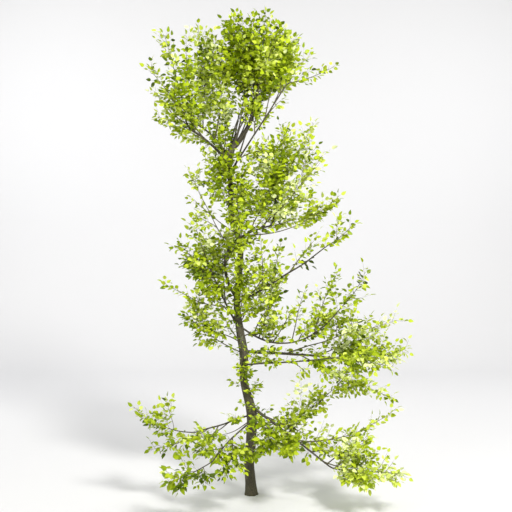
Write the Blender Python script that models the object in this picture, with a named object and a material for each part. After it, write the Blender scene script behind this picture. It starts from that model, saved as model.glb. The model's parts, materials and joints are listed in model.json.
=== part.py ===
"""A slim young birch tree: one leaning trunk, its boughs, and the masses of leaves they carry.

Metres, +Z up, +X to the tree's right and +Y to its back. The origin is the middle of the flat
cut under the trunk, at ground level, and nothing reaches below it.

Every limb is an arc that leaves its parent on a bearing and ends at its own reach and rise.
Every mass of leaves is one solid: a stem that carries on from a limb, shoots that leave the stem
by a seeded rule, and leaves sunk into the shoots. A shoot or leaf that would touch a limb or
another mass is skipped, so each mass keeps to its own space.
"""
import math
import random
from collections import namedtuple

import bmesh
import bpy
import numpy as np
from mathutils import Matrix, Vector

UP = Vector((0.0, 0.0, 1.0))
GAP = 0.0003                  # clear space between a limb or stem and what carries it
SHEATH_GROWTH = 1.4           # of the gap, at the corners of a limb, to leave it whole on the sides
WELD = 1e-6                   # corners this near are one
SHORT_STEP = 0.2              # of a step: a line ends no nearer than this to its last knot

# Colours
TRUNK_COLOUR = (0.150, 0.128, 0.112)
LIMB_COLOUR = (0.095, 0.083, 0.070)
LEAF_COLOUR = (0.300, 0.430, 0.020)
TRUNK_ROUGHNESS = 0.85
LIMB_ROUGHNESS = 0.80
LEAF_ROUGHNESS = 0.55

# Trunk
TRUNK_SIDES = 9
TRUNK_STEP = 0.21             # height between two rings of the trunk
FLARE_HEIGHT = 0.05           # the foot stands straight up to here, so its cut is level
Station = namedtuple("Station", "height x y radius")
TRUNK = (
    Station(0.00, 0.000, 0.000, 0.086),
    Station(0.05, 0.000, 0.000, 0.076),
    Station(0.16, -0.006, 0.001, 0.067),
    Station(0.37, -0.022, 0.005, 0.063),
    Station(0.68, 0.002, 0.012, 0.064),
    Station(0.99, 0.008, 0.010, 0.063),
    Station(1.42, -0.090, 0.000, 0.048),
    Station(1.73, -0.088, -0.008, 0.054),
    Station(2.02, -0.136, -0.010, 0.049),
    Station(2.34, -0.172, 0.000, 0.042),
    Station(2.75, -0.145, 0.010, 0.038),
    Station(3.08, -0.134, 0.012, 0.036),
    Station(3.46, -0.245, 0.005, 0.032),
    Station(3.80, -0.252, -0.005, 0.031),
    Station(4.19, -0.272, 0.000, 0.028),
)

# Limbs: parent and place on it (a height on the trunk, a share of a limb's length), bearing in
# degrees from +X towards +Y, reach outwards, rise, how far the middle bows up and sideways,
# and the radius at root and tip.
LIMB_SIDES = 6
LIMB_STEP = 0.20
NECK = 1.2                    # radii that a limb on a tip runs straight on before it turns
Limb = namedtuple("Limb", "name parent place bearing reach rise arch sway root_radius tip_radius")
LIMBS = (
    Limb("crown_leader", "trunk", 4.19, 0, 0.33, 0.61, -0.05, 0.02, 0.024, 0.016),
    Limb("crown_fork_low", "trunk", 4.05, -161, 0.48, 0.41, 0.05, -0.04, 0.018, 0.010),
    Limb("crown_fork_high", "trunk", 4.11, 142, 0.50, 0.49, 0.05, 0.01, 0.016, 0.009),
    Limb("crown_right_bough", "trunk", 3.97, -12, 0.70, 1.04, -0.01, -0.03, 0.012, 0.007),
    Limb("curved_bough", "trunk", 2.40, -15, 0.40, 0.90, 0.32, -0.12, 0.018, 0.010),
    Limb("right_bough_a", "trunk", 2.36, -17, 1.05, 0.64, -0.02, 0.05, 0.014, 0.007),
    Limb("right_bough_b", "trunk", 2.08, -13, 1.14, 0.11, -0.26, 0.02, 0.012, 0.007),
    Limb("right_bough_c", "trunk", 1.76, 14, 1.06, -0.10, 0.01, -0.02, 0.020, 0.012),
    Limb("right_bough_d", "trunk", 1.60, -26, 1.15, 0.15, -0.01, 0.02, 0.011, 0.007),
    Limb("left_fan_limb", "trunk", 2.02, -163, 0.40, 0.82, -0.01, -0.02, 0.013, 0.008),
    Limb("right_bough_e", "trunk", 1.10, -28, 1.06, -0.61, 0.00, -0.01, 0.017, 0.009),
    Limb("left_foot_bough", "trunk", 0.98, -155, 0.72, -0.14, -0.02, -0.04, 0.011, 0.007),
    Limb("front_foot_bough", "trunk", 0.90, -115, 0.99, -0.22, -0.01, -0.04, 0.011, 0.007),
)

# Masses: the same sizes for the stem, then how far its shoots spread and the share of the stem
# that is bare before the first shoot.
Shoot = namedtuple("Shoot", "arc piece leaf_places")
Mass = namedtuple("Mass", "name parent place bearing reach rise arch sway spread bare")
MASSES = (
    Mass("crown_top", "crown_leader", 1.0, 10, 0.12, 1.21, 0.00, 0.01, 0.42, 0.03),
    Mass("crown_top_back", "crown_leader", 0.80, 116, 0.42, 1.22, 0.06, -0.01, 0.42, 0.12),
    Mass("crown_top_front", "crown_leader", 0.90, -46, 0.50, 0.90, 0.04, -0.06, 0.42, 0.12),
    Mass("crown_base", "trunk", 3.98, 100, 0.40, 0.85, 0.00, 0.03, 0.40, 0.15),
    Mass("crown_right", "crown_right_bough", 0.78, 31, 0.60, 0.72, 0.02, 0.12, 0.36, 0.10),
    Mass("crown_right_tip", "crown_right_bough", 1.0, -9, 0.64, 0.23, -0.02, 0.01, 0.20, 0.05),
    Mass("crown_left_high", "crown_fork_high", 1.0, 107, 0.10, 1.32, 0.00, -0.05, 0.36, 0.04),
    Mass("crown_left_inner", "crown_fork_high", 0.52, -66, 0.28, 1.16, 0.02, 0.04, 0.40, 0.12),
    Mass("crown_left_tip", "crown_fork_low", 1.0, 172, 0.38, 1.24, 0.00, -0.03, 0.36, 0.04),
    Mass("crown_left_far", "crown_fork_low", 0.72, -146, 0.76, 0.80, -0.03, 0.03, 0.34, 0.10),
    Mass("crown_left_clump", "crown_fork_low", 0.50, 159, 0.80, 0.40, 0.03, -0.04, 0.36, 0.12),
    Mass("upper_left", "trunk", 2.80, 176, 0.62, 1.18, -0.02, 0.02, 0.40, 0.25),
    Mass("upper_left_side", "trunk", 3.20, 168, 0.62, 0.50, -0.02, 0.05, 0.32, 0.20),
    Mass("upper_left_inner", "trunk", 3.50, -172, 0.34, 0.68, 0.02, 0.02, 0.34, 0.15),
    Mass("upper_front", "trunk", 3.20, -90, 0.80, 0.48, -0.10, 0.02, 0.40, 0.18),
    Mass("upper_back", "trunk", 3.05, 95, 0.85, 0.95, -0.10, -0.03, 0.42, 0.18),
    Mass("middle_tall", "curved_bough", 1.0, 40, 0.25, 1.26, 0.00, -0.03, 0.38, 0.04),
    Mass("middle_out", "curved_bough", 0.93, -21, 0.82, 0.90, -0.04, 0.03, 0.38, 0.10),
    Mass("middle_back", "curved_bough", 0.84, 50, 1.02, 1.32, -0.08, 0.10, 0.40, 0.15),
    Mass("side_limb_spray", "curved_bough", 0.78, -4, 1.20, 0.52, -0.14, 0.06, 0.26, 0.45),
    Mass("bough_a_tip", "right_bough_a", 1.0, -6, 0.43, 0.36, -0.02, 0.01, 0.22, 0.05),
    Mass("bough_a_front", "right_bough_a", 0.28, -94, 0.50, 0.65, -0.03, 0.03, 0.36, 0.12),
    Mass("bough_a_upper", "right_bough_a", 0.62, 33, 0.44, 0.45, 0.02, 0.00, 0.30, 0.10),
    Mass("middle_low_back", "trunk", 2.20, 63, 1.02, 0.55, -0.11, -0.03, 0.42, 0.22),
    Mass("centre_right_low", "trunk", 1.94, -38, 0.60, 0.36, -0.04, 0.03, 0.38, 0.20),
    Mass("left_fan_tip", "left_fan_limb", 1.0, -147, 0.42, 0.30, -0.04, -0.04, 0.36, 0.04),
    Mass("left_fan_back", "left_fan_limb", 0.73, 125, 0.74, 0.25, 0.02, -0.06, 0.38, 0.10),
    Mass("left_fan_inner", "left_fan_limb", 0.42, 96, 0.30, 0.84, 0.02, 0.03, 0.38, 0.12),
    Mass("left_out_spray", "left_fan_limb", 0.35, -171, 0.84, 0.35, -0.06, 0.01, 0.22, 0.15),
    Mass("left_low", "trunk", 1.74, 174, 0.76, 0.52, -0.06, 0.03, 0.36, 0.28),
    Mass("left_low_inner", "trunk", 1.84, -140, 0.40, 0.52, -0.03, 0.02, 0.38, 0.15),
    Mass("bough_b_tip", "right_bough_b", 1.0, -13, 0.42, 0.62, -0.04, 0.01, 0.28, 0.04),
    Mass("bough_b_upper", "right_bough_b", 0.80, 41, 0.45, 0.78, -0.02, 0.06, 0.28, 0.10),
    Mass("bough_c_tip", "right_bough_c", 1.0, 7, 1.12, 0.12, -0.10, 0.03, 0.38, 0.04),
    Mass("bough_c_upper", "right_bough_c", 0.50, -10, 1.42, 0.45, 0.02, -0.01, 0.38, 0.28),
    Mass("bough_c_lower", "right_bough_c", 0.68, -12, 1.18, -0.52, -0.02, 0.02, 0.32, 0.28),
    Mass("bough_d_tip", "right_bough_d", 1.0, -21, 0.78, -0.07, 0.00, 0.00, 0.32, 0.04),
    Mass("bough_f_tip", "right_bough_e", 0.36, 6, 0.90, 0.68, -0.10, 0.02, 0.40, 0.20),
    Mass("bough_e_tip", "right_bough_e", 1.0, -13, 0.90, -0.02, -0.02, 0.00, 0.38, 0.04),
    Mass("bough_e_shoot", "right_bough_e", 0.62, 5, 1.24, 0.42, -0.13, 0.00, 0.20, 0.15),
    Mass("bough_e_front", "right_bough_e", 0.28, -76, 0.56, -0.19, -0.03, -0.10, 0.40, 0.12),
    Mass("low_back", "trunk", 0.95, 71, 0.86, -0.42, 0.05, 0.01, 0.40, 0.25),
    Mass("left_foot_tip", "left_foot_bough", 1.0, -166, 0.78, 0.38, -0.09, -0.01, 0.30, 0.04),
    Mass("left_foot_low", "left_foot_bough", 0.78, -170, 0.76, -0.24, -0.02, 0.07, 0.28, 0.10),
    Mass("front_foot_inner", "front_foot_bough", 0.45, -100, 0.46, -0.26, -0.02, 0.03, 0.40, 0.10),
    Mass("front_foot_tip", "front_foot_bough", 1.0, -156, 0.60, -0.20, -0.02, 0.02, 0.38, 0.04),
)

# Growth of a mass
TWIG_SIDES = 3                # of a stem and of a shoot
STEM_STEP = 0.28
STEM_RADIUS = 0.0085          # at the root of a stem, where its limb is no thinner
STEM_TIP_RADIUS = 0.004
SHOOT_STEP = 0.27
SHOOT_SPACING = 0.20          # of stem for each shoot
FEWEST_SHOOTS = 4             # on a short stem
SHOOT_RADIUS = 0.0055
SHOOT_TIP_RADIUS = 0.003
SHOOT_ANGLES = (36.0, 60.0)   # between a shoot and its stem, in degrees
SHOOT_LIFT = 0.30             # how far a shoot turns up, as a share of its length
SHOOT_SAG = 0.06              # how far its middle bows down
TIP_LOSS = 0.65               # of a mass's spread, that is gone by the stem's tip
LENGTH_SCATTER = 0.15         # of a shoot's length
TURN_SCATTER = 0.4            # of its turn round the stem, in radians
GOLDEN_ANGLE = math.pi * (3.0 - math.sqrt(5.0))
SHORTEST_SHARE = 0.30         # of a shoot, that stays bare wood below the leaf at its tip

# Leaves, each one larger than life to stand for a spray
LEAF_LENGTH = 0.210
SMALLEST_LEAF = 0.8           # of that length
LEAF_WIDTH = 0.60             # of a leaf's length
LEAF_THICKNESS = 0.05         # of a leaf's length, where its sides fold up
LEAF_WAIST = 0.42             # where a leaf is widest, from its root
LEAF_ANGLE = 50.0             # between a leaf and its shoot, in degrees
ANGLE_SCATTER = 15.0
LEAF_PLACES = (0.30, 0.58, 0.86)    # of the bare length of a shoot
STEM_LEAF_PLACES = (0.66, 0.80, 0.94)
LEAF_TRIES = 6                # places tried before a leaf is skipped
LEAF_TILT = 1.0               # how far its upper side leans from straight up, at most
LEAF_SUNK = 0.012             # of an end leaf lies inside its shoot
LEAF_PAST = 0.030             # of an end leaf reaches past the line of its shoot

# Room
CLEARANCE = 0.006             # between a shoot or leaf and another node
GROUND_CLEARANCE = 0.015
BALL_STEP = 0.012             # between the balls that mark where a piece lies
LEAF_ROWS = 5                 # of balls across a leaf
ROW_PLACES = (-0.8, -0.3, 0.3, 0.8)


class Arc:
    """The line of a limb, bowed up by arch and sideways by sway, straight between even knots."""

    def __init__(self, root, span, bow, step):
        self.root = root
        self.span = span
        self.bow = bow
        self.knots = max(1, math.ceil(span.length / step))

    def knot(self, number):
        share = number / self.knots
        return self.root + self.span * share + self.bow * (4.0 * share * (1.0 - share))

    def at(self, share):
        number = min(int(share * self.knots), self.knots - 1)
        return self.knot(number).lerp(self.knot(number + 1), share * self.knots - number)

    def heading(self, share):
        return (self.span + self.bow * (4.0 - 8.0 * share)).normalized()

    def points(self, end=1.0):
        """The knots up to a share of the line, and the point where that share ends."""
        whole = math.ceil(end * self.knots - SHORT_STEP)
        return [self.knot(i) for i in range(whole)] + [self.at(end)]


def limb_arc(limb, root, step):
    turn = math.radians(limb.bearing)
    outwards = Vector((math.cos(turn), math.sin(turn), 0.0))
    lift = (UP * limb.reach - outwards * limb.rise) / math.hypot(limb.reach, limb.rise)
    bow = lift * limb.arch + UP.cross(outwards) * limb.sway
    return Arc(root, outwards * limb.reach + UP * limb.rise, bow, step)


def sits_on_tip(limb):
    return limb.place == (TRUNK[-1].height if limb.parent == "trunk" else 1.0)


class TrunkLine:
    """The trunk's line and radius at any height, in smooth curves through its stations."""

    def at(self, height):
        return Vector((self.blend(height, "x"), self.blend(height, "y"), height))

    def blend(self, height, field):
        last = len(TRUNK) - 1
        i = max(k for k in range(last) if TRUNK[k].height <= height or k == 0)
        lower, upper = TRUNK[i], TRUNK[i + 1]
        run = upper.height - lower.height
        t = (height - lower.height) / run
        slopes = []
        for k in (i, i + 1):
            below, above = TRUNK[max(k - 1, 0)], TRUNK[min(k + 1, last)]
            slopes.append((getattr(above, field) - getattr(below, field)) / (above.height - below.height))
        start, end = getattr(lower, field), getattr(upper, field)
        ease = t * t * (3.0 - 2.0 * t)
        bend = slopes[0] * t * (1.0 - t) ** 2 - slopes[1] * t * t * (1.0 - t)
        return start + (end - start) * ease + bend * run

    def rings(self):
        """A ring at the ground, one above its upright foot, and then one at every step."""
        rise = TRUNK[-1].height - FLARE_HEIGHT
        count = math.ceil(rise / TRUNK_STEP)
        heights = [0.0] + [FLARE_HEIGHT + rise * i / count for i in range(count + 1)]
        return [self.at(h) for h in heights], [self.blend(h, "radius") for h in heights]


class Neighbours:
    """Balls along everything placed so far, marked with their node and their limb, shoot or leaf."""

    def __init__(self):
        self.centres = np.empty((0, 3))
        self.radii = np.empty(0)
        self.nodes = np.empty(0, dtype=int)
        self.pieces = np.empty(0, dtype=int)
        self.count = 0

    def add(self, node, centres, radii):
        """Place one piece of a node, and give back the number it is known by."""
        self.count += 1
        self.centres = np.vstack([self.centres, np.array([tuple(c) for c in centres])])
        self.radii = np.append(self.radii, radii)
        self.nodes = np.append(self.nodes, [node] * len(centres))
        self.pieces = np.append(self.pieces, [self.count] * len(centres))
        return self.count

    def clear_of_shoot(self, node, points, radius):
        """Whether a shoot touches no other node."""
        for start, end in zip(points, points[1:]):
            a = np.array(start)
            run = np.array(end) - a
            share = np.clip((self.centres - a) @ run / (run @ run), 0.0, 1.0)
            away = np.linalg.norm(self.centres - a - share[:, None] * run, axis=1)
            near = away < self.radii + radius + CLEARANCE
            if np.any(near & (self.nodes != node)):
                return False
        return True

    def clear_of_leaf(self, carrier, frame, length):
        """Whether a leaf touches nothing but the shoot that carries it."""
        local = (self.centres - np.array(frame.translation)) @ np.array(frame.to_3x3())
        room = self.radii + CLEARANCE
        along = (local[:, 0] > -room) & (local[:, 0] < length + room)
        across = np.abs(local[:, 1]) < length * LEAF_WIDTH / 2.0 + room
        thick = (local[:, 2] > -room) & (local[:, 2] < length * LEAF_THICKNESS + room)
        return not np.any(along & across & thick & (self.pieces != carrier))


def clear_scene():
    for thing in list(bpy.data.objects):
        bpy.data.objects.remove(thing, do_unlink=True)


def new_collection(name):
    group = bpy.data.collections.new(name)
    bpy.context.scene.collection.children.link(group)
    return group


def make_material(name, colour, roughness):
    material = bpy.data.materials.new(name)
    material.use_nodes = True
    shader = material.node_tree.nodes["Principled BSDF"]
    shader.inputs["Base Color"].default_value = (*colour, 1.0)
    shader.inputs["Roughness"].default_value = roughness
    shader.inputs["Metallic"].default_value = 0.0
    return material


def polygon_profile(sides):
    """A closed regular polygon of radius one, to sweep along a limb."""
    curve = bpy.data.curves.new(f"profile_{sides}", "CURVE")
    spline = curve.splines.new("POLY")
    spline.points.add(sides - 1)
    for i, knot in enumerate(spline.points):
        turn = 2.0 * math.pi * i / sides
        knot.co = (math.cos(turn), math.sin(turn), 0.0, 1.0)
    spline.use_cyclic_u = True
    profile = bpy.data.objects.new(curve.name, curve)
    bpy.context.scene.collection.objects.link(profile)
    return profile


def evaluated_mesh(thing):
    bpy.context.view_layer.update()
    view = bpy.context.evaluated_depsgraph_get()
    return bpy.data.meshes.new_from_object(thing.evaluated_get(view))


def tube(name, points, radii, profile):
    """A tapering tube with flat ends, as a closed mesh object."""
    curve = bpy.data.curves.new(name, "CURVE")
    curve.dimensions = "3D"
    curve.bevel_mode = "OBJECT"
    curve.bevel_object = profile
    curve.use_fill_caps = True
    spline = curve.splines.new("POLY")
    spline.points.add(len(points) - 1)
    for knot, place, radius in zip(spline.points, points, radii):
        knot.co = (*place, 1.0)
        knot.radius = radius
    sweep = bpy.data.objects.new(name, curve)
    bpy.context.scene.collection.objects.link(sweep)
    mesh = evaluated_mesh(sweep)
    bpy.data.objects.remove(sweep)
    bpy.data.curves.remove(curve)
    tidy_mesh(mesh)
    return bpy.data.objects.new(name, mesh)


def tidy_mesh(mesh):
    """Weld the caps and turn every face outwards."""
    work = bmesh.new()
    work.from_mesh(mesh)
    bmesh.ops.remove_doubles(work, verts=work.verts, dist=WELD)
    bmesh.ops.recalc_face_normals(work, faces=work.faces)
    work.to_mesh(mesh)
    work.free()


def corner_quality(before, corner, after, normal):
    """How well shaped a triangle is: one when equilateral, none when flat or turned over."""
    cross = (corner.co - before.co).cross(after.co - corner.co)
    sides = ((corner.co - before.co), (after.co - corner.co), (before.co - after.co))
    return 2.0 * math.sqrt(3.0) * cross.dot(normal) / sum(side.length_squared for side in sides)


def is_free_corner(work, ring, i, normal):
    """Whether a corner can be clipped: nothing lies in it and its third side is no edge yet."""
    before, corner, after = ring[i - 1], ring[i], ring[(i + 1) % len(ring)]
    if work.edges.get((before, after)):
        return False
    for other in ring:
        if other in (before, corner, after):
            continue
        sides = ((before, corner), (corner, after), (after, before))
        if all((b.co - a.co).cross(other.co - a.co).dot(normal) >= 0.0 for a, b in sides):
            return False
    return True


def split_face(work, face):
    """Clip the best shaped corner off a flat face until it is all triangles."""
    ring = list(face.verts)
    normal = face.normal.copy()
    work.faces.remove(face)
    while len(ring) > 3:
        corners = range(len(ring))
        scores = [corner_quality(ring[i - 1], ring[i], ring[(i + 1) % len(ring)], normal) for i in corners]
        free = [i for i in corners if scores[i] > 0.0 and is_free_corner(work, ring, i, normal)]
        best = max(free or corners, key=scores.__getitem__)
        work.faces.new((ring[best - 1], ring[best], ring[(best + 1) % len(ring)]))
        ring.pop(best)
    work.faces.new(ring)


def make_triangles(mesh):
    """Split every face of more than three corners."""
    work = bmesh.new()
    work.from_mesh(mesh)
    for face in [face for face in work.faces if len(face.verts) > 3]:
        split_face(work, face)
    work.to_mesh(mesh)
    work.free()


def bare_share(arc):
    """The share of a stem or shoot that is bare wood, below the leaf at its tip."""
    return max(1.0 - (LEAF_LENGTH - LEAF_PAST) / arc.span.length, SHORTEST_SHARE)


def taper(points, root_radius, tip_radius):
    last = len(points) - 1
    return [root_radius + (tip_radius - root_radius) * i / last for i in range(last + 1)]


def leaf(name, frame, length):
    """A pointed blade of four faces, folded up from its midrib and widest nearer its root."""
    work = bmesh.new()
    bmesh.ops.create_cone(work, cap_ends=True, segments=3, radius1=1.0, radius2=0.0, depth=1.0)
    bmesh.ops.remove_doubles(work, verts=work.verts, dist=WELD)
    fold = length * LEAF_THICKNESS
    half = length * LEAF_WIDTH / 2.0
    waist = length * LEAF_WAIST
    places = ((0.0, 0.0, 0.0), (waist, half, fold), (waist, -half, fold), (length, 0.0, 0.0))
    for corner, place in zip(work.verts, places):
        corner.co = frame @ Vector(place)
    bmesh.ops.recalc_face_normals(work, faces=work.faces)
    mesh = bpy.data.meshes.new(name)
    work.to_mesh(mesh)
    work.free()
    return bpy.data.objects.new(name, mesh)


def leaf_frame(root, direction, face):
    """Axes of a leaf: X from its root to its tip, Z out of its upper side."""
    along = direction.normalized()
    across = face.cross(along).normalized()
    axes = Matrix((along, across, along.cross(across))).transposed()
    return Matrix.Translation(root) @ axes.to_4x4()


def largest_piece(mesh):
    """Keep the biggest connected piece: scraps and the walls of sealed hollows go."""
    work = bmesh.new()
    work.from_mesh(mesh)
    unseen = set(work.verts)
    pieces = []
    while unseen:
        piece = {unseen.pop()}
        edge_of_piece = list(piece)
        while edge_of_piece:
            for edge in edge_of_piece.pop().link_edges:
                for corner in edge.verts:
                    if corner in unseen:
                        unseen.remove(corner)
                        piece.add(corner)
                        edge_of_piece.append(corner)
        pieces.append(piece)
    for piece in sorted(pieces, key=len)[:-1]:
        bmesh.ops.delete(work, geom=list(piece), context="VERTS")
    work.to_mesh(mesh)
    work.free()


def is_closed(mesh):
    work = bmesh.new()
    work.from_mesh(mesh)
    closed = len(work.faces) > 0 and all(edge.is_manifold for edge in work.edges)
    work.free()
    return closed


def combine(target, operation, group):
    """Union a collection with the target, or cut it away, and apply that."""
    for solver in ("EXACT", "MANIFOLD"):
        step = target.modifiers.new("combine", "BOOLEAN")
        step.operation = operation
        step.operand_type = "COLLECTION"
        step.collection = group
        step.solver = solver
        mesh = evaluated_mesh(target)
        target.modifiers.remove(step)
        largest_piece(mesh)
        if is_closed(mesh):
            make_triangles(mesh)
        if is_closed(mesh):
            target.data = mesh
            return
    raise RuntimeError(f"{target.name} does not close")


class Birch:
    """Builds the tree node by node."""

    def __init__(self):
        self.tree = new_collection("birch")
        self.work = new_collection("pieces")
        self.profiles = {n: polygon_profile(n) for n in (TRUNK_SIDES, LIMB_SIDES, TWIG_SIDES)}
        self.bark = make_material("grey bark", TRUNK_COLOUR, TRUNK_ROUGHNESS)
        self.limb_bark = make_material("limb bark", LIMB_COLOUR, LIMB_ROUGHNESS)
        self.green = make_material("young leaf", LEAF_COLOUR, LEAF_ROUGHNESS)
        self.lines = {}
        self.forms = {}
        self.nearby = Neighbours()
        self.ends = {}
        self.tip_radii = {}
        self.numbers = {}
        self.pieces = {}

    def keep(self, thing, material):
        thing.data.materials.clear()
        thing.data.materials.append(material)
        self.tree.objects.link(thing)

    def note(self, name, points, radii):
        """Remember where a tube of a node lies, in balls a centimetre or so apart."""
        node = self.numbers.setdefault(name, len(self.numbers))
        centres = []
        sizes = []
        for start, end, r0, r1 in zip(points, points[1:], radii, radii[1:]):
            count = math.ceil((end - start).length / BALL_STEP)
            for share in [i / count for i in range(count + 1)]:
                centres.append(start.lerp(end, share))
                sizes.append(r0 + (r1 - r0) * share)
        return self.nearby.add(node, centres, sizes)

    def sheath(self, parent):
        """The parent's own shape, grown by the gap on every side."""
        mesh = self.forms[parent].copy()
        for corner in mesh.vertices:
            corner.co += corner.normal * GAP * SHEATH_GROWTH
        return bpy.data.objects.new("sheath", mesh)

    def limb_tube(self, limb, points, radii, sides):
        """A limb or stem: one on its parent's tip starts just clear of it and straight on."""
        if sits_on_tip(limb):
            before, tip = self.ends[limb.parent]
            onwards = (tip - before).normalized()
            neck = [tip + onwards * GAP, tip + onwards * radii[0] * NECK]
            points = neck + points[1:]
            radii = radii[:1] + radii
        return tube(limb.name, points, radii, self.profiles[sides])

    def cut_clear(self, thing, limb):
        """Cut a limb or mass that leaves its parent's side just clear of it."""
        if not sits_on_tip(limb):
            self.work.objects.link(self.sheath(limb.parent))
            self.apply(thing, "DIFFERENCE")

    def apply(self, thing, operation):
        """Combine a shape with the waiting pieces, and clear them away."""
        self.tree.objects.link(thing)
        combine(thing, operation, self.work)
        self.tree.objects.unlink(thing)
        for piece in list(self.work.objects):
            bpy.data.objects.remove(piece)

    def carry(self, name, thing, points, radii):
        """Remember the whole shape and the tip of the trunk or a limb, for what grows from it."""
        make_triangles(thing.data)
        self.forms[name] = thing.data.copy()
        self.ends[name] = points[-2:]
        self.tip_radii[name] = radii[-1]
        self.note(name, points, radii)

    def build_trunk(self):
        self.lines["trunk"] = TrunkLine()
        points, radii = self.lines["trunk"].rings()
        trunk = tube("trunk", points, radii, self.profiles[TRUNK_SIDES])
        self.carry("trunk", trunk, points, radii)
        self.keep(trunk, self.bark)

    def build_limb(self, limb):
        arc = limb_arc(limb, self.lines[limb.parent].at(limb.place), LIMB_STEP)
        points = arc.points()
        radii = taper(points, limb.root_radius, limb.tip_radius)
        thing = self.limb_tube(limb, points, radii, LIMB_SIDES)
        self.lines[limb.name] = arc
        self.carry(limb.name, thing, points, radii)
        self.cut_clear(thing, limb)
        self.keep(thing, self.limb_bark)

    def build_stem(self, mass):
        arc = limb_arc(mass, self.lines[mass.parent].at(mass.place), STEM_STEP)
        self.lines[mass.name] = arc
        points = arc.points(bare_share(arc) + LEAF_SUNK / arc.span.length)
        radii = taper(points, min(STEM_RADIUS, self.tip_radii[mass.parent]), STEM_TIP_RADIUS)
        self.pieces[mass.name] = self.note(mass.name, points, radii)
        return self.limb_tube(mass, points, radii, TWIG_SIDES)

    def grow_shoots(self, mass):
        """Shoots spiral round the stem, shorter towards its tip, and turn up to the light."""
        dice = random.Random(mass.name)
        stem = self.lines[mass.name]
        node = self.numbers[mass.name]
        count = max(FEWEST_SHOOTS, round(stem.span.length * (1.0 - mass.bare) / SHOOT_SPACING))
        shoots = [Shoot(stem, self.pieces[mass.name], STEM_LEAF_PLACES)]
        for number in range(count):
            place = mass.bare + (bare_share(stem) - mass.bare) * (number + 0.5) / count
            heading = stem.heading(place)
            turn = number * GOLDEN_ANGLE + dice.uniform(-TURN_SCATTER, TURN_SCATTER)
            side = heading.orthogonal().normalized()
            side.rotate(Matrix.Rotation(turn, 3, heading))
            angle = math.radians(dice.uniform(*SHOOT_ANGLES))
            length = mass.spread * (1.0 - TIP_LOSS * place)
            length *= dice.uniform(1.0 - LENGTH_SCATTER, 1.0 + LENGTH_SCATTER)
            span = (heading * math.cos(angle) + side * math.sin(angle) + UP * SHOOT_LIFT) * length
            arc = Arc(stem.at(place), span, UP * -SHOOT_SAG * length, SHOOT_STEP)
            points = arc.points(bare_share(arc) + LEAF_SUNK / span.length)
            if min(p.z for p in points) < GROUND_CLEARANCE:
                continue
            if self.nearby.clear_of_shoot(node, points, SHOOT_RADIUS):
                radii = taper(points, SHOOT_RADIUS, SHOOT_TIP_RADIUS)
                piece = self.note(mass.name, points, radii)
                self.work.objects.link(tube("shoot", points, radii, self.profiles[TWIG_SIDES]))
                shoots.append(Shoot(arc, piece, LEAF_PLACES))
        return shoots

    def grow_leaves(self, mass, shoots):
        """One leaf runs on from each tip; the others stand out below it, left and right in turn."""
        dice = random.Random(mass.name + " leaves")
        for shoot in shoots:
            end = bare_share(shoot.arc)
            tip = (shoot.arc.at(1.0) - shoot.arc.at(end)).normalized()
            self.add_leaf(mass, shoot, shoot.arc.at(end), tip, dice, LEAF_LENGTH)
            for number, place in enumerate(shoot.leaf_places):
                heading = shoot.arc.heading(place * end)
                side = heading.cross(UP).normalized() * (1.0 if number % 2 else -1.0)
                length = LEAF_LENGTH * dice.uniform(SMALLEST_LEAF, 1.0)
                for attempt in range(LEAF_TRIES):
                    angle = math.radians(LEAF_ANGLE + dice.uniform(-ANGLE_SCATTER, ANGLE_SCATTER))
                    direction = heading * math.cos(angle) + side * math.sin(angle)
                    if self.add_leaf(mass, shoot, shoot.arc.at(place * end), direction, dice, length):
                        break
                    side = -side

    def add_leaf(self, mass, shoot, root, direction, dice, length):
        face = UP + Vector((dice.uniform(-LEAF_TILT, LEAF_TILT), dice.uniform(-LEAF_TILT, LEAF_TILT), 0.0))
        frame = leaf_frame(root, direction, face)
        corners = [(LEAF_WAIST, -LEAF_WIDTH / 2.0), (LEAF_WAIST, LEAF_WIDTH / 2.0), (1.0, 0.0)]
        lowest = min((frame @ Vector((x * length, y * length, 0.0))).z for x, y in corners)
        if lowest < GROUND_CLEARANCE or not self.nearby.clear_of_leaf(shoot.piece, frame, length):
            return False
        self.work.objects.link(leaf("leaf", frame, length))
        cells = []
        for row in range(1, LEAF_ROWS + 1):
            along = row / (LEAF_ROWS + 1)
            half = LEAF_WIDTH / 2.0 * min(along / LEAF_WAIST, (1.0 - along) / (1.0 - LEAF_WAIST))
            cells += [frame @ (Vector((along, half * side, 0.0)) * length) for side in ROW_PLACES]
        self.nearby.add(self.numbers[mass.name], cells, [BALL_STEP] * len(cells))
        return True

    def build(self):
        self.build_trunk()
        for limb in LIMBS:
            self.build_limb(limb)
        stems = {mass.name: self.build_stem(mass) for mass in MASSES}
        for mass in MASSES:
            shoots = self.grow_shoots(mass)
            self.grow_leaves(mass, shoots)
            self.apply(stems[mass.name], "UNION")
            self.cut_clear(stems[mass.name], mass)
            self.keep(stems[mass.name], self.green)
        for profile in self.profiles.values():
            bpy.data.objects.remove(profile)


clear_scene()
Birch().build()
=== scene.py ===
"""The looks of a slim young birch: bark, boughs, twigs and leaves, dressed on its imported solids.

Metres, +Z up, +X to the tree's right and +Y to its back. The trunk, the limbs and the stems of the
leaf masses follow the solids' own sizes and seeded rule. They go on from there to finer shoots and
twigs, and to leaves of the size that a birch bears.
"""
import json
import math
import random
from collections import namedtuple

import bpy
import numpy as np
from mathutils import Matrix, Vector, noise

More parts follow.
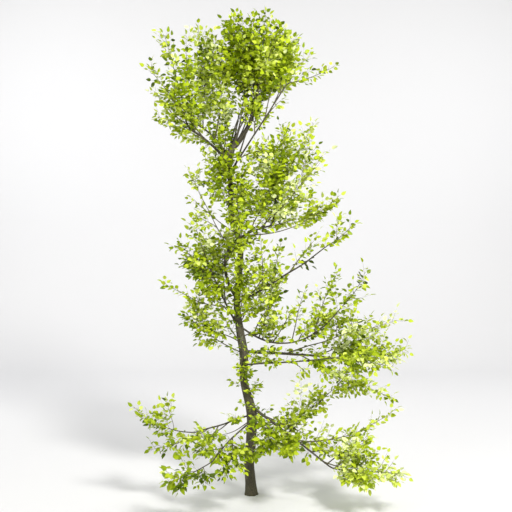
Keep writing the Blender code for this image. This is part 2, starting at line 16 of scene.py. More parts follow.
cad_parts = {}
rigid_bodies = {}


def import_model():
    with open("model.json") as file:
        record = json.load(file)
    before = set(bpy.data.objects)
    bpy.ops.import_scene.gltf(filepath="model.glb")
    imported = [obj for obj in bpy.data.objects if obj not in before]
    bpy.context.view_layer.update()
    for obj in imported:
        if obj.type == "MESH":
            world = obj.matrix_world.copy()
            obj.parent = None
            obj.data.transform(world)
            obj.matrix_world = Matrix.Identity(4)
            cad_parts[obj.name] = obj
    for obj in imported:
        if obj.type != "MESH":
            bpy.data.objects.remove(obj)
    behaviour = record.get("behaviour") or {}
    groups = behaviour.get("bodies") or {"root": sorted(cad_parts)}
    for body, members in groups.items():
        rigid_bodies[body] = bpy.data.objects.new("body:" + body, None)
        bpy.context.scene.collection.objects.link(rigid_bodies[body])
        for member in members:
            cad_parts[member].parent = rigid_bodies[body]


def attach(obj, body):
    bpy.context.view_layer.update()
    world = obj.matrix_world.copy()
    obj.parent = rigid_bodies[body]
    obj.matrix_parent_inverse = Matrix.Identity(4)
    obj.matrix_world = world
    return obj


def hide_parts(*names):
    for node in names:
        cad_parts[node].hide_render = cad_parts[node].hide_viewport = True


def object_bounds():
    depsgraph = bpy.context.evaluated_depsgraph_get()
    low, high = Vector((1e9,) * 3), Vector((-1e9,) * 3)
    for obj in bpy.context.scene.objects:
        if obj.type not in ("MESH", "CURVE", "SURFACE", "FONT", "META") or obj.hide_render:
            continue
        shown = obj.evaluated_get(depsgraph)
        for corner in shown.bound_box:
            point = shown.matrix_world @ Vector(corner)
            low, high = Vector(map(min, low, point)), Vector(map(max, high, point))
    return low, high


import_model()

CAD_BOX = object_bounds()
UP = Vector((0.0, 0.0, 1.0))

# The trunk, limbs and leaf masses, as the solids have them
Station = namedtuple("Station", "height x y radius")
TRUNK = (
    Station(0.00, 0.000, 0.000, 0.086),
    Station(0.05, 0.000, 0.000, 0.076),
    Station(0.16, -0.006, 0.001, 0.067),
    Station(0.37, -0.022, 0.005, 0.063),
    Station(0.68, 0.002, 0.012, 0.064),
    Station(0.99, 0.008, 0.010, 0.063),
    Station(1.42, -0.090, 0.000, 0.048),
    Station(1.73, -0.088, -0.008, 0.054),
    Station(2.02, -0.136, -0.010, 0.049),
    Station(2.34, -0.172, 0.000, 0.042),
    Station(2.75, -0.145, 0.010, 0.038),
    Station(3.08, -0.134, 0.012, 0.036),
    Station(3.46, -0.245, 0.005, 0.032),
    Station(3.80, -0.252, -0.005, 0.031),
    Station(4.19, -0.272, 0.000, 0.028),
)

# Parent and place on it (a height on the trunk, a share of a limb), bearing from +X towards +Y,
# reach outwards, rise, how far the middle bows up and sideways, and the radius at root and tip.
Limb = namedtuple("Limb", "name parent place bearing reach rise arch sway root_radius tip_radius")
LIMBS = (
    Limb("crown_leader", "trunk", 4.19, 0, 0.33, 0.61, -0.05, 0.02, 0.024, 0.016),
    Limb("crown_fork_low", "trunk", 4.05, -161, 0.48, 0.41, 0.05, -0.04, 0.018, 0.010),
    Limb("crown_fork_high", "trunk", 4.11, 142, 0.50, 0.49, 0.05, 0.01, 0.016, 0.009),
    Limb("crown_right_bough", "trunk", 3.97, -12, 0.70, 1.04, -0.01, -0.03, 0.012, 0.007),
    Limb("curved_bough", "trunk", 2.40, -15, 0.40, 0.90, 0.32, -0.12, 0.018, 0.010),
    Limb("right_bough_a", "trunk", 2.36, -17, 1.05, 0.64, -0.02, 0.05, 0.014, 0.007),
    Limb("right_bough_b", "trunk", 2.08, -13, 1.14, 0.11, -0.26, 0.02, 0.012, 0.007),
    Limb("right_bough_c", "trunk", 1.76, 14, 1.06, -0.10, 0.01, -0.02, 0.020, 0.012),
    Limb("right_bough_d", "trunk", 1.60, -26, 1.15, 0.15, -0.01, 0.02, 0.011, 0.007),
    Limb("left_fan_limb", "trunk", 2.02, -163, 0.40, 0.82, -0.01, -0.02, 0.013, 0.008),
    Limb("right_bough_e", "trunk", 1.10, -28, 1.06, -0.61, 0.00, -0.01, 0.017, 0.009),
    Limb("left_foot_bough", "trunk", 0.98, -155, 0.72, -0.14, -0.02, -0.04, 0.011, 0.007),
    Limb("front_foot_bough", "trunk", 0.90, -115, 0.99, -0.22, -0.01, -0.04, 0.011, 0.007),
)
BARE_LIMBS = (                # with no shoots of their own
    "crown_leader", "crown_right_bough", "crown_fork_low", "crown_fork_high", "right_bough_a",
    "left_foot_bough",
)

# The same sizes for a mass's stem, then how far its shoots spread and how much of the stem is bare.
# Where a mass differs from the usual: how many tints lighter it is, which paints the mass's sunlight and
# shade, and how thinly its leaves stand.
Mass = namedtuple("Mass", "name parent place bearing reach rise arch sway spread bare light thin",
                  defaults=(0.0, 1.0))
MASSES = tuple(Mass(*row) for row in (
    ("crown_top", "crown_leader", 1.0, 10, 0.12, 1.21, 0.00, 0.01, 0.42, 0.03),
    ("crown_top_back", "crown_leader", 0.80, 116, 0.42, 1.22, 0.06, -0.01, 0.42, 0.12, -1.8),
    ("crown_top_front", "crown_leader", 0.90, -46, 0.50, 0.90, 0.04, -0.06, 0.42, 0.12, 0.5),
    ("crown_base", "trunk", 3.98, 100, 0.40, 0.85, 0.00, 0.03, 0.40, 0.55, 0.6),
    ("crown_right", "crown_right_bough", 0.78, 31, 0.60, 0.72, 0.02, 0.12, 0.36, 0.35, 0.5),
    ("crown_right_tip", "crown_right_bough", 1.0, -9, 0.64, 0.23, -0.02, 0.01, 0.20, 0.05, 0.0, 2.0),
    ("crown_left_high", "crown_fork_high", 1.0, 107, 0.10, 1.32, 0.00, -0.05, 0.36, 0.04, 1.2, 0.9),
    ("crown_left_inner", "crown_fork_high", 0.52, -66, 0.28, 1.16, 0.02, 0.04, 0.40, 0.12, 1.0),
    ("crown_left_tip", "crown_fork_low", 1.0, 172, 0.38, 1.24, 0.00, -0.03, 0.36, 0.04),
    ("crown_left_far", "crown_fork_low", 0.72, -146, 0.76, 0.80, -0.03, 0.03, 0.34, 0.10),
    ("crown_left_clump", "crown_fork_low", 0.50, 159, 0.80, 0.40, 0.03, -0.04, 0.36, 0.12, -0.5, 1.4),
    ("upper_left", "trunk", 2.80, 176, 0.62, 1.18, -0.02, 0.02, 0.40, 0.80, 1.2, 1.6),
    ("upper_left_side", "trunk", 3.20, 168, 0.62, 0.50, -0.02, 0.05, 0.32, 0.40, 0.4, 2.4),
    ("upper_left_inner", "trunk", 3.50, -172, 0.34, 0.68, 0.02, 0.02, 0.34, 0.15, 0.8),
    ("upper_front", "trunk", 3.20, -90, 0.80, 0.48, -0.10, 0.02, 0.40, 0.18, 0.4, 2.2),
    ("upper_back", "trunk", 3.05, 95, 0.85, 0.95, -0.10, -0.03, 0.42, 0.18, -0.7, 2.4),
    ("middle_tall", "curved_bough", 1.0, 40, 0.25, 1.26, 0.00, -0.03, 0.38, 0.04, 1.0),
    ("middle_out", "curved_bough", 0.93, -21, 0.82, 0.90, -0.04, 0.03, 0.38, 0.10, 1.9, 1.6),
    ("middle_back", "curved_bough", 0.84, 50, 1.02, 1.32, -0.08, 0.10, 0.40, 0.15, 1.5, 1.25),
    ("side_limb_spray", "curved_bough", 0.78, -4, 1.20, 0.52, -0.14, 0.06, 0.26, 0.45, 1.3, 1.28),
    ("bough_a_tip", "right_bough_a", 1.0, -6, 0.43, 0.36, -0.02, 0.01, 0.22, 0.05, -0.4, 1.22),
    ("bough_a_front", "right_bough_a", 0.28, -94, 0.50, 0.65, -0.03, 0.03, 0.36, 0.12, -0.4, 4.03),
    ("bough_a_upper", "right_bough_a", 0.62, 33, 0.44, 0.45, 0.02, 0.00, 0.30, 0.10, 0.0, 2.2),
    ("middle_low_back", "trunk", 2.20, 63, 1.02, 0.55, -0.11, -0.03, 0.42, 0.22, -0.3, 1.3),
    ("centre_right_low", "trunk", 1.94, -38, 0.60, 0.36, -0.04, 0.03, 0.38, 0.45, 1.2, 2.24),
    ("left_fan_tip", "left_fan_limb", 1.0, -147, 0.42, 0.30, -0.04, -0.04, 0.36, 0.04, -0.7, 1.6),
    ("left_fan_back", "left_fan_limb", 0.73, 125, 0.74, 0.25, 0.02, -0.06, 0.38, 0.10, -0.9, 0.7),
    ("left_fan_inner", "left_fan_limb", 0.42, 96, 0.30, 0.84, 0.02, 0.03, 0.38, 0.12, 0.7, 1.2),
    ("left_out_spray", "left_fan_limb", 0.35, -171, 0.84, 0.35, -0.06, 0.01, 0.22, 0.45, 0.0, 2.52),
    ("left_low", "trunk", 1.74, 174, 0.76, 0.52, -0.06, 0.03, 0.36, 0.28),
    ("left_low_inner", "trunk", 1.84, -140, 0.40, 0.52, -0.03, 0.02, 0.38, 0.15, -0.7, 2.6),
    ("bough_b_tip", "right_bough_b", 1.0, -13, 0.42, 0.62, -0.04, 0.01, 0.28, 0.04, -0.5, 1.8),
    ("bough_b_upper", "right_bough_b", 0.80, 41, 0.45, 0.78, -0.02, 0.06, 0.28, 0.10, 0.0, 1.4),
    ("bough_c_tip", "right_bough_c", 1.0, 7, 1.12, 0.12, -0.10, 0.03, 0.38, 0.04, 1.0, 0.8),
    ("bough_c_upper", "right_bough_c", 0.50, -10, 1.42, 0.45, 0.02, -0.01, 0.38, 0.45, 1.6),
    ("bough_c_lower", "right_bough_c", 0.68, -12, 1.18, -0.52, -0.02, 0.02, 0.32, 0.28, 0.9, 0.66),
    ("bough_d_tip", "right_bough_d", 1.0, -21, 0.78, -0.07, 0.00, 0.00, 0.32, 0.04, 1.0),
    ("bough_f_tip", "right_bough_e", 0.36, 6, 0.90, 0.68, -0.10, 0.02, 0.40, 0.20, 0.9, 1.18),
    ("bough_e_tip", "right_bough_e", 1.0, -13, 0.90, -0.02, -0.02, 0.00, 0.38, 0.04, 2.4, 1.2),
    ("bough_e_shoot", "right_bough_e", 0.62, 5, 1.24, 0.42, -0.13, 0.00, 0.20, 0.15, 1.0, 1.82),
    ("bough_e_front", "right_bough_e", 0.28, -76, 0.56, -0.19, -0.03, -0.10, 0.40, 0.12, -0.5),
    ("low_back", "trunk", 0.95, 71, 0.86, -0.42, 0.05, 0.01, 0.40, 0.25, -1.2, 1.85),
    ("left_foot_tip", "left_foot_bough", 1.0, -166, 0.78, 0.38, -0.09, -0.01, 0.30, 0.30, 0.0, 0.84),
    ("left_foot_low", "left_foot_bough", 0.78, -170, 0.76, -0.24, -0.02, 0.07, 0.28, 0.10, -0.9),
    ("front_foot_inner", "front_foot_bough", 0.45, -100, 0.46, -0.26, -0.02, 0.03, 0.40, 0.10, -1.2, 1.4),
    ("front_foot_tip", "front_foot_bough", 1.0, -156, 0.60, -0.20, -0.02, 0.02, 0.38, 0.25, -0.8, 1.2),
))

# Stems too thin for the solids, which only the looks have: a broom of steep shoots at the fork, doubled
# boughs, and sprays that stand between the masses and round them
THIN_STEMS = tuple(Mass(*row) for row in (
    ("broom_inner", "trunk", 3.95, 30, 0.22, 0.78, 0.02, 0.02, 0.18, 0.80),
    ("broom_outer", "trunk", 3.88, -8, 0.36, 0.92, 0.02, -0.02, 0.18, 0.82),
    ("broom_front", "crown_leader", 0.06, -50, 0.30, 0.60, -0.02, 0.01, 0.16, 0.85),
    ("broom_middle", "crown_leader", 0.12, -14, 0.33, 0.64, -0.03, 0.02, 0.16, 0.85),
    ("broom_back", "crown_leader", 0.10, 34, 0.30, 0.60, -0.03, -0.02, 0.18, 0.80),
    ("broom_right", "crown_leader", 0.20, -34, 0.28, 0.46, -0.03, 0.02, 0.16, 0.80),
    ("crown_top_left", "crown_leader", 0.75, 155, 0.30, 1.14, 0.00, 0.02, 0.34, 0.25),
    ("broom_left", "crown_leader", 0.04, 60, 0.24, 0.66, -0.02, -0.02, 0.16, 0.85),
    ("crown_left_spire", "crown_fork_low", 0.95, 120, 0.22, 1.28, 0.00, 0.03, 0.24, 0.40, 0.5),
    ("crown_left_edge", "crown_fork_low", 0.85, -166, 0.58, 0.53, -0.03, 0.02, 0.24, 0.35),
    ("crown_left_middle", "crown_fork_high", 0.90, 26, 0.07, 1.21, 0.00, 0.02, 0.34, 0.30, 1.3),
    ("crown_under_right", "trunk", 3.62, -20, 0.40, 0.70, 0.02, 0.03, 0.34, 0.45, 1.3),
    ("crown_under_front", "trunk", 3.40, -48, 0.36, 0.46, 0.02, -0.02, 0.36, 0.15, 0.0, 0.8),
    ("crown_right_inner", "crown_right_bough", 0.45, 70, 0.24, 0.50, 0.02, 0.02, 0.26, 0.10),
    ("crown_right_low", "crown_right_bough", 0.16, -22, 0.41, 0.11, 0.02, 0.02, 0.26, 0.20, 1.3, 1.95),
    ("crown_right_high", "crown_right_bough", 0.90, 70, 0.36, 0.78, 0.02, 0.02, 0.30, 0.10, 1.3, 0.7),
    ("middle_high", "curved_bough", 0.96, 6, 0.66, 1.34, 0.02, 0.02, 0.26, 0.25, 1.6, 0.8),
    ("middle_low_front", "curved_bough", 0.35, -70, 0.48, 0.30, 0.00, 0.02, 0.34, 0.20, -0.6, 1.92),
    ("middle_side", "curved_bough", 0.72, -40, 0.52, 0.34, -0.02, 0.02, 0.32, 0.12, 0.0, 2.2),
    ("middle_side_back", "curved_bough", 0.94, 16, 0.66, 0.20, -0.02, 0.02, 0.28, 0.15, 0.8, 1.28),
    ("bough_a_under", "right_bough_a", 0.12, -40, 0.38, 0.42, 0.00, 0.02, 0.34, 0.12, 0.8, 1.98),
    ("centre_right_inner", "trunk", 2.10, -25, 0.46, 0.30, 0.00, 0.02, 0.32, 0.15, 0.4, 2.4),
    ("bough_c_inner", "right_bough_c", 0.24, -50, 0.20, 0.05, 0.00, 0.01, 0.15, 0.10, 0.0, 1.38),
    ("bough_c_under", "right_bough_c", 0.82, -50, 0.34, -0.20, 0.02, 0.02, 0.26, 0.10, -1.2),
    ("bough_c_middle", "right_bough_c", 0.88, 4, 0.86, 0.26, 0.02, 0.02, 0.26, 0.20, 1.7, 0.5),
    ("left_fan_low", "trunk", 2.14, 172, 0.46, 0.42, 0.00, 0.02, 0.30, 0.35, 0.0, 0.84),
    ("left_low_under", "trunk", 1.86, -165, 0.62, 0.26, 0.02, 0.02, 0.26, 0.35, 0.7, 0.68),
    ("bough_e_upper", "right_bough_e", 0.48, 30, 0.55, 0.50, -0.06, 0.02, 0.26, 0.30, 1.3, 1.4),
    ("low_right_inner", "right_bough_e", 0.55, 8, 0.60, -0.02, -0.04, 0.02, 0.30, 0.15, 0.7, 2.2),
    ("low_right_front", "right_bough_e", 0.30, -48, 0.42, -0.20, 0.00, 0.02, 0.32, 0.10, 1.2),
    ("low_right_under", "right_bough_e", 0.78, 24, 0.60, -0.10, 0.02, 0.02, 0.30, 0.10, 1.2, 2.6),
    ("bough_e_outer", "right_bough_e", 0.97, 4, 0.54, 0.28, 0.02, 0.02, 0.24, 0.15, 2.4),
    ("bough_e_low", "right_bough_e", 0.94, -35, 0.59, -0.13, 0.02, 0.02, 0.28, 0.20, 3.1),
    ("bough_e_double", "trunk", 1.02, -12, 1.00, -0.40, 0.02, 0.03, 0.24, 0.25, 0.9),
    ("left_foot_double", "trunk", 0.93, -172, 0.56, -0.20, -0.06, 0.03, 0.24, 0.70),
    ("left_foot_inner", "left_foot_bough", 0.42, 160, 0.42, -0.22, -0.04, 0.02, 0.30, 0.50),
    ("left_foot_under", "left_foot_bough", 0.60, -120, 0.40, -0.24, 0.02, 0.02, 0.30, 0.15, -1.1, 1.2),
    ("front_foot_under", "front_foot_bough", 0.55, -30, 0.40, -0.16, -0.02, 0.02, 0.32, 0.15, -0.8, 1.32),
    ("crown_top_inner", "crown_leader", 0.92, 166, 0.17, 1.21, 0.00, 0.02, 0.34, 0.30, -0.6, 0.8),
    ("crown_top_edge", "crown_leader", 0.80, -169, 0.36, 1.11, 0.00, 0.02, 0.34, 0.35),
    ("crown_top_lead", "crown_leader", 0.97, -98, 0.09, 1.11, 0.00, -0.02, 0.34, 0.35, -0.4),
    ("crown_left_low", "crown_fork_low", 0.60, -159, 0.70, 0.28, 0.03, 0.02, 0.22, 0.30),
    ("crown_right_top", "crown_right_bough", 0.62, 33, 0.31, 1.07, 0.00, 0.02, 0.34, 0.25, 1.3, 0.8),
    ("middle_inner_top", "curved_bough", 1.00, 126, 0.12, 0.96, 0.00, 0.02, 0.30, 0.30, 1.3),
    ("middle_edge", "middle_out", 0.50, -6, 0.17, 0.50, 0.00, 0.02, 0.26, 0.15, 1.2, 1.5),
    ("middle_edge_low", "middle_out", 0.35, -24, 0.39, 0.09, 0.00, 0.02, 0.26, 0.15, 1.3),
    ("side_limb_double", "side_limb_spray", 0.50, -7, 0.49, 0.30, 0.00, 0.02, 0.24, 0.10, 0.4, 0.6),
    ("upper_left_tip", "upper_left", 0.55, -177, 0.25, 0.50, 0.00, 0.02, 0.30, 0.60, 1.3, 1.3),
    ("upper_inner_high", "upper_left_inner", 0.40, 166, 0.10, 0.14, 0.00, 0.02, 0.28, 0.10, 1.3),
    ("left_fan_high", "left_fan_limb", 0.95, -146, 0.24, 0.55, 0.00, 0.02, 0.30, 0.15, 0.8, 1.3),
    ("left_fan_middle", "left_fan_limb", 0.85, 110, 0.11, 0.54, 0.00, 0.02, 0.30, 0.15, 1.3, 0.6),
    ("left_fan_side", "left_fan_limb", 0.50, -166, 0.38, 0.34, 0.00, 0.02, 0.30, 0.15, -0.5, 0.7),
    ("left_low_tip", "left_low", 0.60, -159, 0.19, 0.39, 0.00, 0.02, 0.26, 0.10, 1.3),
    ("bough_b_high", "right_bough_b", 0.24, 26, 0.26, 1.24, 0.00, 0.02, 0.26, 0.50),
    ("bough_b_rise", "right_bough_b", 0.55, 37, 0.23, 0.68, 0.00, 0.02, 0.22, 0.35, 0.4, 1.28),
    ("bough_b_low", "right_bough_b", 0.35, -34, 0.30, 0.45, 0.00, 0.02, 0.22, 0.35, 1.0),
    ("bough_b_fill", "right_bough_b", 0.80, 17, 0.21, 0.26, 0.00, 0.02, 0.22, 0.10, 1.1, 0.59),
    ("bough_c_fill", "right_bough_c", 0.55, -24, 0.53, -0.01, 0.00, 0.02, 0.34, 0.55, -0.3),
    ("bough_c_end", "bough_c_tip", 0.60, -11, 0.36, -0.02, 0.00, 0.02, 0.22, 0.10, 2.7, 0.91),
    ("bough_d_under", "right_bough_d", 0.55, -59, 0.34, -0.10, 0.00, 0.02, 0.22, 0.50),
    ("bough_d_end", "bough_d_tip", 0.45, -42, 0.17, -0.06, 0.00, 0.02, 0.22, 0.10, 1.0),
    ("bough_c_hang", "bough_c_lower", 0.50, -74, 0.17, -0.16, 0.00, 0.02, 0.24, 0.10, 1.0, 0.66),
    ("left_foot_root", "left_foot_bough", 0.22, -110, 0.34, 0.08, 0.00, 0.02, 0.22, 0.10),
    ("front_foot_centre", "bough_e_front", 0.45, -107, 0.25, -0.14, 0.00, 0.02, 0.28, 0.10, 0.0, 0.57),
    ("low_right_hang", "low_right_front", 0.50, -83, 0.36, -0.14, 0.00, 0.02, 0.26, 0.10, 0.0, 0.7),
    ("bough_e_rise", "bough_e_outer", 0.35, 14, 0.41, 0.18, 0.00, 0.02, 0.26, 0.10, 2.3),
    ("bough_e_top", "right_bough_e", 0.45, -5, 0.28, 0.26, 0.00, 0.02, 0.22, 0.10, 1.3, 0.84),
    ("crown_gap_back", "crown_fork_high", 0.30, 109, 0.30, 0.29, 0.00, 0.02, 0.28, 0.20, -0.4, 0.7),
    ("crown_gap_left", "trunk", 3.86, 123, 0.36, 0.48, 0.00, 0.02, 0.28, 0.25, 0.0, 0.6),
    ("crown_gap_inner", "trunk", 3.70, 112, 0.17, 0.54, 0.00, 0.02, 0.26, 0.30, 0.0, 0.7),
    ("middle_inner_high", "middle_tall", 0.25, 135, 0.12, 0.81, 0.00, 0.02, 0.28, 0.20, 1.3, 0.55),
    ("crown_edge_spray", "crown_top_edge", 0.55, 135, 0.07, 0.65, 0.00, 0.02, 0.30, 0.10, 0.0, 0.7),
    ("crown_middle_spray", "crown_left_middle", 0.40, -43, 0.21, 0.63, 0.00, 0.02, 0.34, 0.10, 1.2),
    ("crown_middle_front", "crown_left_inner", 0.45, -122, 0.23, 0.49, 0.00, 0.02, 0.34, 0.10, 0.7),
    ("crown_right_spray", "crown_right_top", 0.55, 24, 0.30, 0.51, 0.00, 0.02, 0.28, 0.10, 1.3, 0.7),
    ("bough_d_fill", "right_bough_d", 0.70, -46, 0.36, -0.05, 0.00, 0.02, 0.30, 0.15, -0.6),
    ("left_foot_high", "left_foot_tip", 0.30, -165, 0.10, 0.38, 0.00, 0.02, 0.24, 0.50, 0.5, 1.22),
    ("low_centre", "bough_e_front", 0.85, -47, 0.24, -0.08, 0.00, 0.02, 0.28, 0.10, 0.0, 0.7),
    ("bough_e_hang", "bough_e_tip", 0.35, -89, 0.34, -0.08, 0.00, 0.02, 0.28, 0.10, 1.8, 1.2),
    ("bough_e_drop", "bough_e_tip", 0.60, -53, 0.36, -0.05, 0.00, 0.02, 0.22, 0.20, 1.8, 0.8),
    ("trunk_veil", "trunk", 2.50, -77, 0.31, 0.37, 0.00, 0.02, 0.26, 0.15),
    ("trunk_veil_low", "trunk", 2.20, -79, 0.30, 0.38, 0.00, 0.02, 0.24, 0.15, 0.0, 0.82),
    ("broom_centre", "trunk", 4.10, -10, 0.27, 0.77, 0.02, 0.02, 0.14, 0.85),
    ("broom_near", "crown_leader", 0.02, -14, 0.34, 0.63, 0.02, -0.02, 0.14, 0.85),
    ("broom_far", "crown_leader", 0.03, 20, 0.23, 0.72, 0.02, 0.02, 0.14, 0.85),
    ("broom_high", "crown_leader", 0.08, 7, 0.37, 0.59, -0.02, 0.02, 0.14, 0.85),
    ("broom_low", "trunk", 4.00, 8, 0.18, 0.82, 0.03, 0.02, 0.14, 0.85),
    ("crown_top_right", "crown_top", 0.50, -6, 0.24, 0.42, 0.00, 0.02, 0.28, 0.10),
    ("crown_gap_front", "crown_fork_low", 0.22, -68, 0.13, 0.27, 0.00, 0.02, 0.26, 0.15, -0.7, 0.7),
    ("middle_far_top", "middle_edge", 0.50, 12, 0.10, 0.46, 0.00, 0.02, 0.24, 0.10, 0.8, 1.5),
    ("upper_left_low", "upper_left", 0.42, -177, 0.31, 0.18, 0.00, 0.02, 0.26, 0.20, 0.9),
    ("bough_a_top", "bough_a_tip", 0.40, 52, 0.08, 0.32, 0.00, 0.02, 0.20, 0.10, 0.6, 1.24),
    ("upper_veil", "trunk", 3.02, -117, 0.29, 0.25, 0.00, 0.02, 0.26, 0.20, 0.0, 1.8),
    ("left_low_far", "left_low", 0.75, -81, 0.09, 0.42, 0.00, 0.02, 0.26, 0.10, 1.3, 0.8),
    ("centre_low_right", "centre_right_low", 0.45, -46, 0.27, 0.08, 0.00, 0.02, 0.26, 0.10, 1.3, 1.04),
    ("left_foot_centre", "front_foot_bough", 0.70, -156, 0.37, -0.01, 0.00, 0.02, 0.26, 0.20, -0.8, 0.6),
    ("bough_e_mid", "bough_e_tip", 0.08, -18, 0.28, 0.28, 0.00, 0.02, 0.26, 0.10, 2.7, 0.8),
    ("front_foot_drop", "front_foot_tip", 0.25, -83, 0.16, -0.18, 0.00, 0.02, 0.34, 0.10, -0.9),
    ("front_foot_fill", "front_foot_bough", 0.80, -80, 0.31, -0.23, 0.00, 0.02, 0.34, 0.10, -0.9),
    ("front_foot_side", "front_foot_inner", 0.50, -72, 0.32, -0.07, 0.00, 0.02, 0.32, 0.50, -0.6),
    ("front_foot_out", "front_foot_tip", 0.40, -152, 0.22, 0.06, 0.00, 0.02, 0.32, 0.10, -0.8, 2.0),
    ("front_foot_far", "front_foot_tip", 0.60, -139, 0.16, -0.08, 0.00, 0.02, 0.26, 0.10, -0.8),
    ("front_foot_high", "front_foot_bough", 0.60, -102, 0.24, -0.04, 0.00, 0.02, 0.30, 0.15, 0.0, 1.34),
    ("bough_b_mid", "right_bough_b", 0.14, -11, 0.32, 0.64, 0.00, 0.02, 0.28, 0.35, 0.5),
    ("upper_gap", "upper_left_inner", 0.25, -155, 0.18, 0.02, 0.00, 0.02, 0.26, 0.15, 0.4, 0.65),
    ("upper_gap_low", "trunk", 2.95, -158, 0.36, 0.33, 0.00, 0.02, 0.28, 0.20, 1.3),
    ("bough_e_mid_spray", "right_bough_e", 0.35, -29, 0.46, 0.07, 0.00, 0.02, 0.20, 0.10, 1.3, 2.11),
    ("bough_e_foot", "bough_e_tip", 0.25, -71, 0.42, -0.08, 0.00, 0.02, 0.26, 0.10, 1.6, 0.7),
    ("bough_c_top", "bough_c_upper", 0.60, 92, 0.16, 0.22, 0.00, 0.02, 0.28, 0.10, 1.2),
    ("bough_c_rise", "bough_c_upper", 0.45, 30, 0.04, 0.22, 0.00, 0.02, 0.26, 0.10, 0.0, 0.68),
    ("middle_inner_right", "curved_bough", 0.45, -2, 0.46, 0.33, 0.00, 0.02, 0.24, 0.25, -1.0, 1.4),
    ("centre_veil", "trunk", 2.10, -65, 0.32, 0.31, 0.00, 0.02, 0.22, 0.20),
    ("bough_b_under", "right_bough_b", 0.14, -50, 0.28, 0.10, 0.00, 0.02, 0.22, 0.10, 1.1, 0.76),
    ("bough_b_out", "right_bough_b", 0.62, -40, 0.14, 0.24, 0.00, 0.02, 0.24, 0.10, 0.0, 1.4),
    ("upper_left_top", "upper_left", 0.90, -50, 0.06, 0.04, 0.00, 0.02, 0.24, 0.10, 1.3),
    ("bough_b_tall", "right_bough_b", 0.20, -22, 0.27, 0.85, 0.00, 0.02, 0.26, 0.40, 0.4),
    ("bough_c_drop", "bough_c_lower", 0.55, -85, 0.23, -0.05, 0.00, 0.02, 0.28, 0.15, 0.0, 0.8),
    ("bough_e_ground", "bough_e_low", 0.60, -52, 0.34, -0.09, 0.00, 0.02, 0.28, 0.10, 1.6, 1.3),
    ("bough_e_high", "bough_e_tip", 0.35, -10, 0.21, 0.25, 0.00, 0.02, 0.26, 0.15, 1.6),
    ("middle_top_gap", "middle_tall", 0.60, 11, 0.14, 0.41, 0.00, 0.02, 0.26, 0.15, 1.2),
    ("left_foot_fill", "left_foot_tip", 0.60, -116, 0.04, 0.03, 0.00, 0.02, 0.24, 0.05, 0.6),
    ("bough_d_inner", "right_bough_d", 0.20, -44, 0.30, 0.09, 0.00, 0.02, 0.20, 0.10, -0.5, 1.34),
    ("crown_under_veil", "trunk", 3.66, -45, 0.31, 0.39, 0.00, 0.02, 0.24, 0.20, 0.7, 0.82),
    ("left_fan_edge", "left_fan_limb", 0.80, -165, 0.40, 0.26, 0.00, 0.02, 0.24, 0.15, -0.6),
    ("crown_left_under", "crown_fork_low", 0.55, -173, 0.12, -0.04, 0.00, 0.02, 0.20, 0.15, 0.8, 1.2),
    ("upper_veil_high", "trunk", 3.22, -105, 0.30, 0.32, 0.00, 0.02, 0.24, 0.25, 0.0, 0.8),
    ("crown_right_fall", "crown_right_bough", 0.80, 42, 0.29, 0.31, 0.00, 0.02, 0.24, 0.45, 1.5, 1.9),
    ("crown_right_edge", "crown_right_bough", 0.62, 43, 0.33, 0.31, 0.00, 0.02, 0.24, 0.50, 1.2, 2.4),
    ("bough_e_last", "bough_e_tip", 0.72, -55, 0.25, -0.01, 0.00, 0.02, 0.20, 0.20, 1.8, 1.8),
    ("bough_b_floor", "right_bough_b", 0.28, -65, 0.26, 0.25, 0.00, 0.02, 0.20, 0.10, 0.8, 1.4),
    ("bough_b_far", "right_bough_b", 0.72, -17, 0.24, 0.15, 0.00, 0.02, 0.24, 0.10, 1.0),
))

# Short leafy shoots straight off the trunk: height, bearing and length
TRUNK_TUFTS = (
    (1.02, -80, 0.16), (1.10, -120, 0.14), (1.18, 20, 0.16), (1.22, -75, 0.14), (1.26, -40, 0.18),
    (1.34, 175, 0.12), (1.38, -95, 0.16), (1.42, -60, 0.18), (1.46, -90, 0.20), (1.50, -110, 0.16),
    (1.56, -20, 0.16), (1.58, -105, 0.14), (1.64, 10, 0.18), (1.68, -60, 0.15), (1.72, -160, 0.16),
    (1.78, -85, 0.14), (2.22, -100, 0.22), (2.34, 15, 0.24), (2.44, -130, 0.26), (2.50, -80, 0.26),
    (2.56, -60, 0.24), (2.62, -110, 0.26), (2.68, 10, 0.26), (2.74, -90, 0.26), (2.84, -20, 0.28),
    (2.90, -120, 0.26), (2.96, 100, 0.24), (3.08, -35, 0.26), (3.30, 5, 0.20), (3.46, -60, 0.20),
    (3.58, 60, 0.26), (3.74, 150, 0.24), (3.84, -60, 0.20), (3.92, -95, 0.20), (4.00, -115, 0.20),
    (4.08, -80, 0.18),
)

# Lines
LIMB_WANDER = 0.010           # how far a limb strays from its even curve
STEM_WANDER = 0.018
TWIG_WANDER = 0.10            # of a shoot's own length
WANDER_PITCH = 3.2            # turns of that wander for each metre
WANDER_ONSET = 5.0            # how soon it sets in: in full by one fifth of a limb's length
WANDER_ROOM = 100.0           # of the noise behind it, over which the limbs' starts are scattered
HEADING_STEP = 0.01           # to either side of where a line's heading is taken
NOISE_SEED = 16               # keeps every wander the same in each run
SETTLE = 10                   # how soon a limb on a tip turns from its carrier's heading to its own

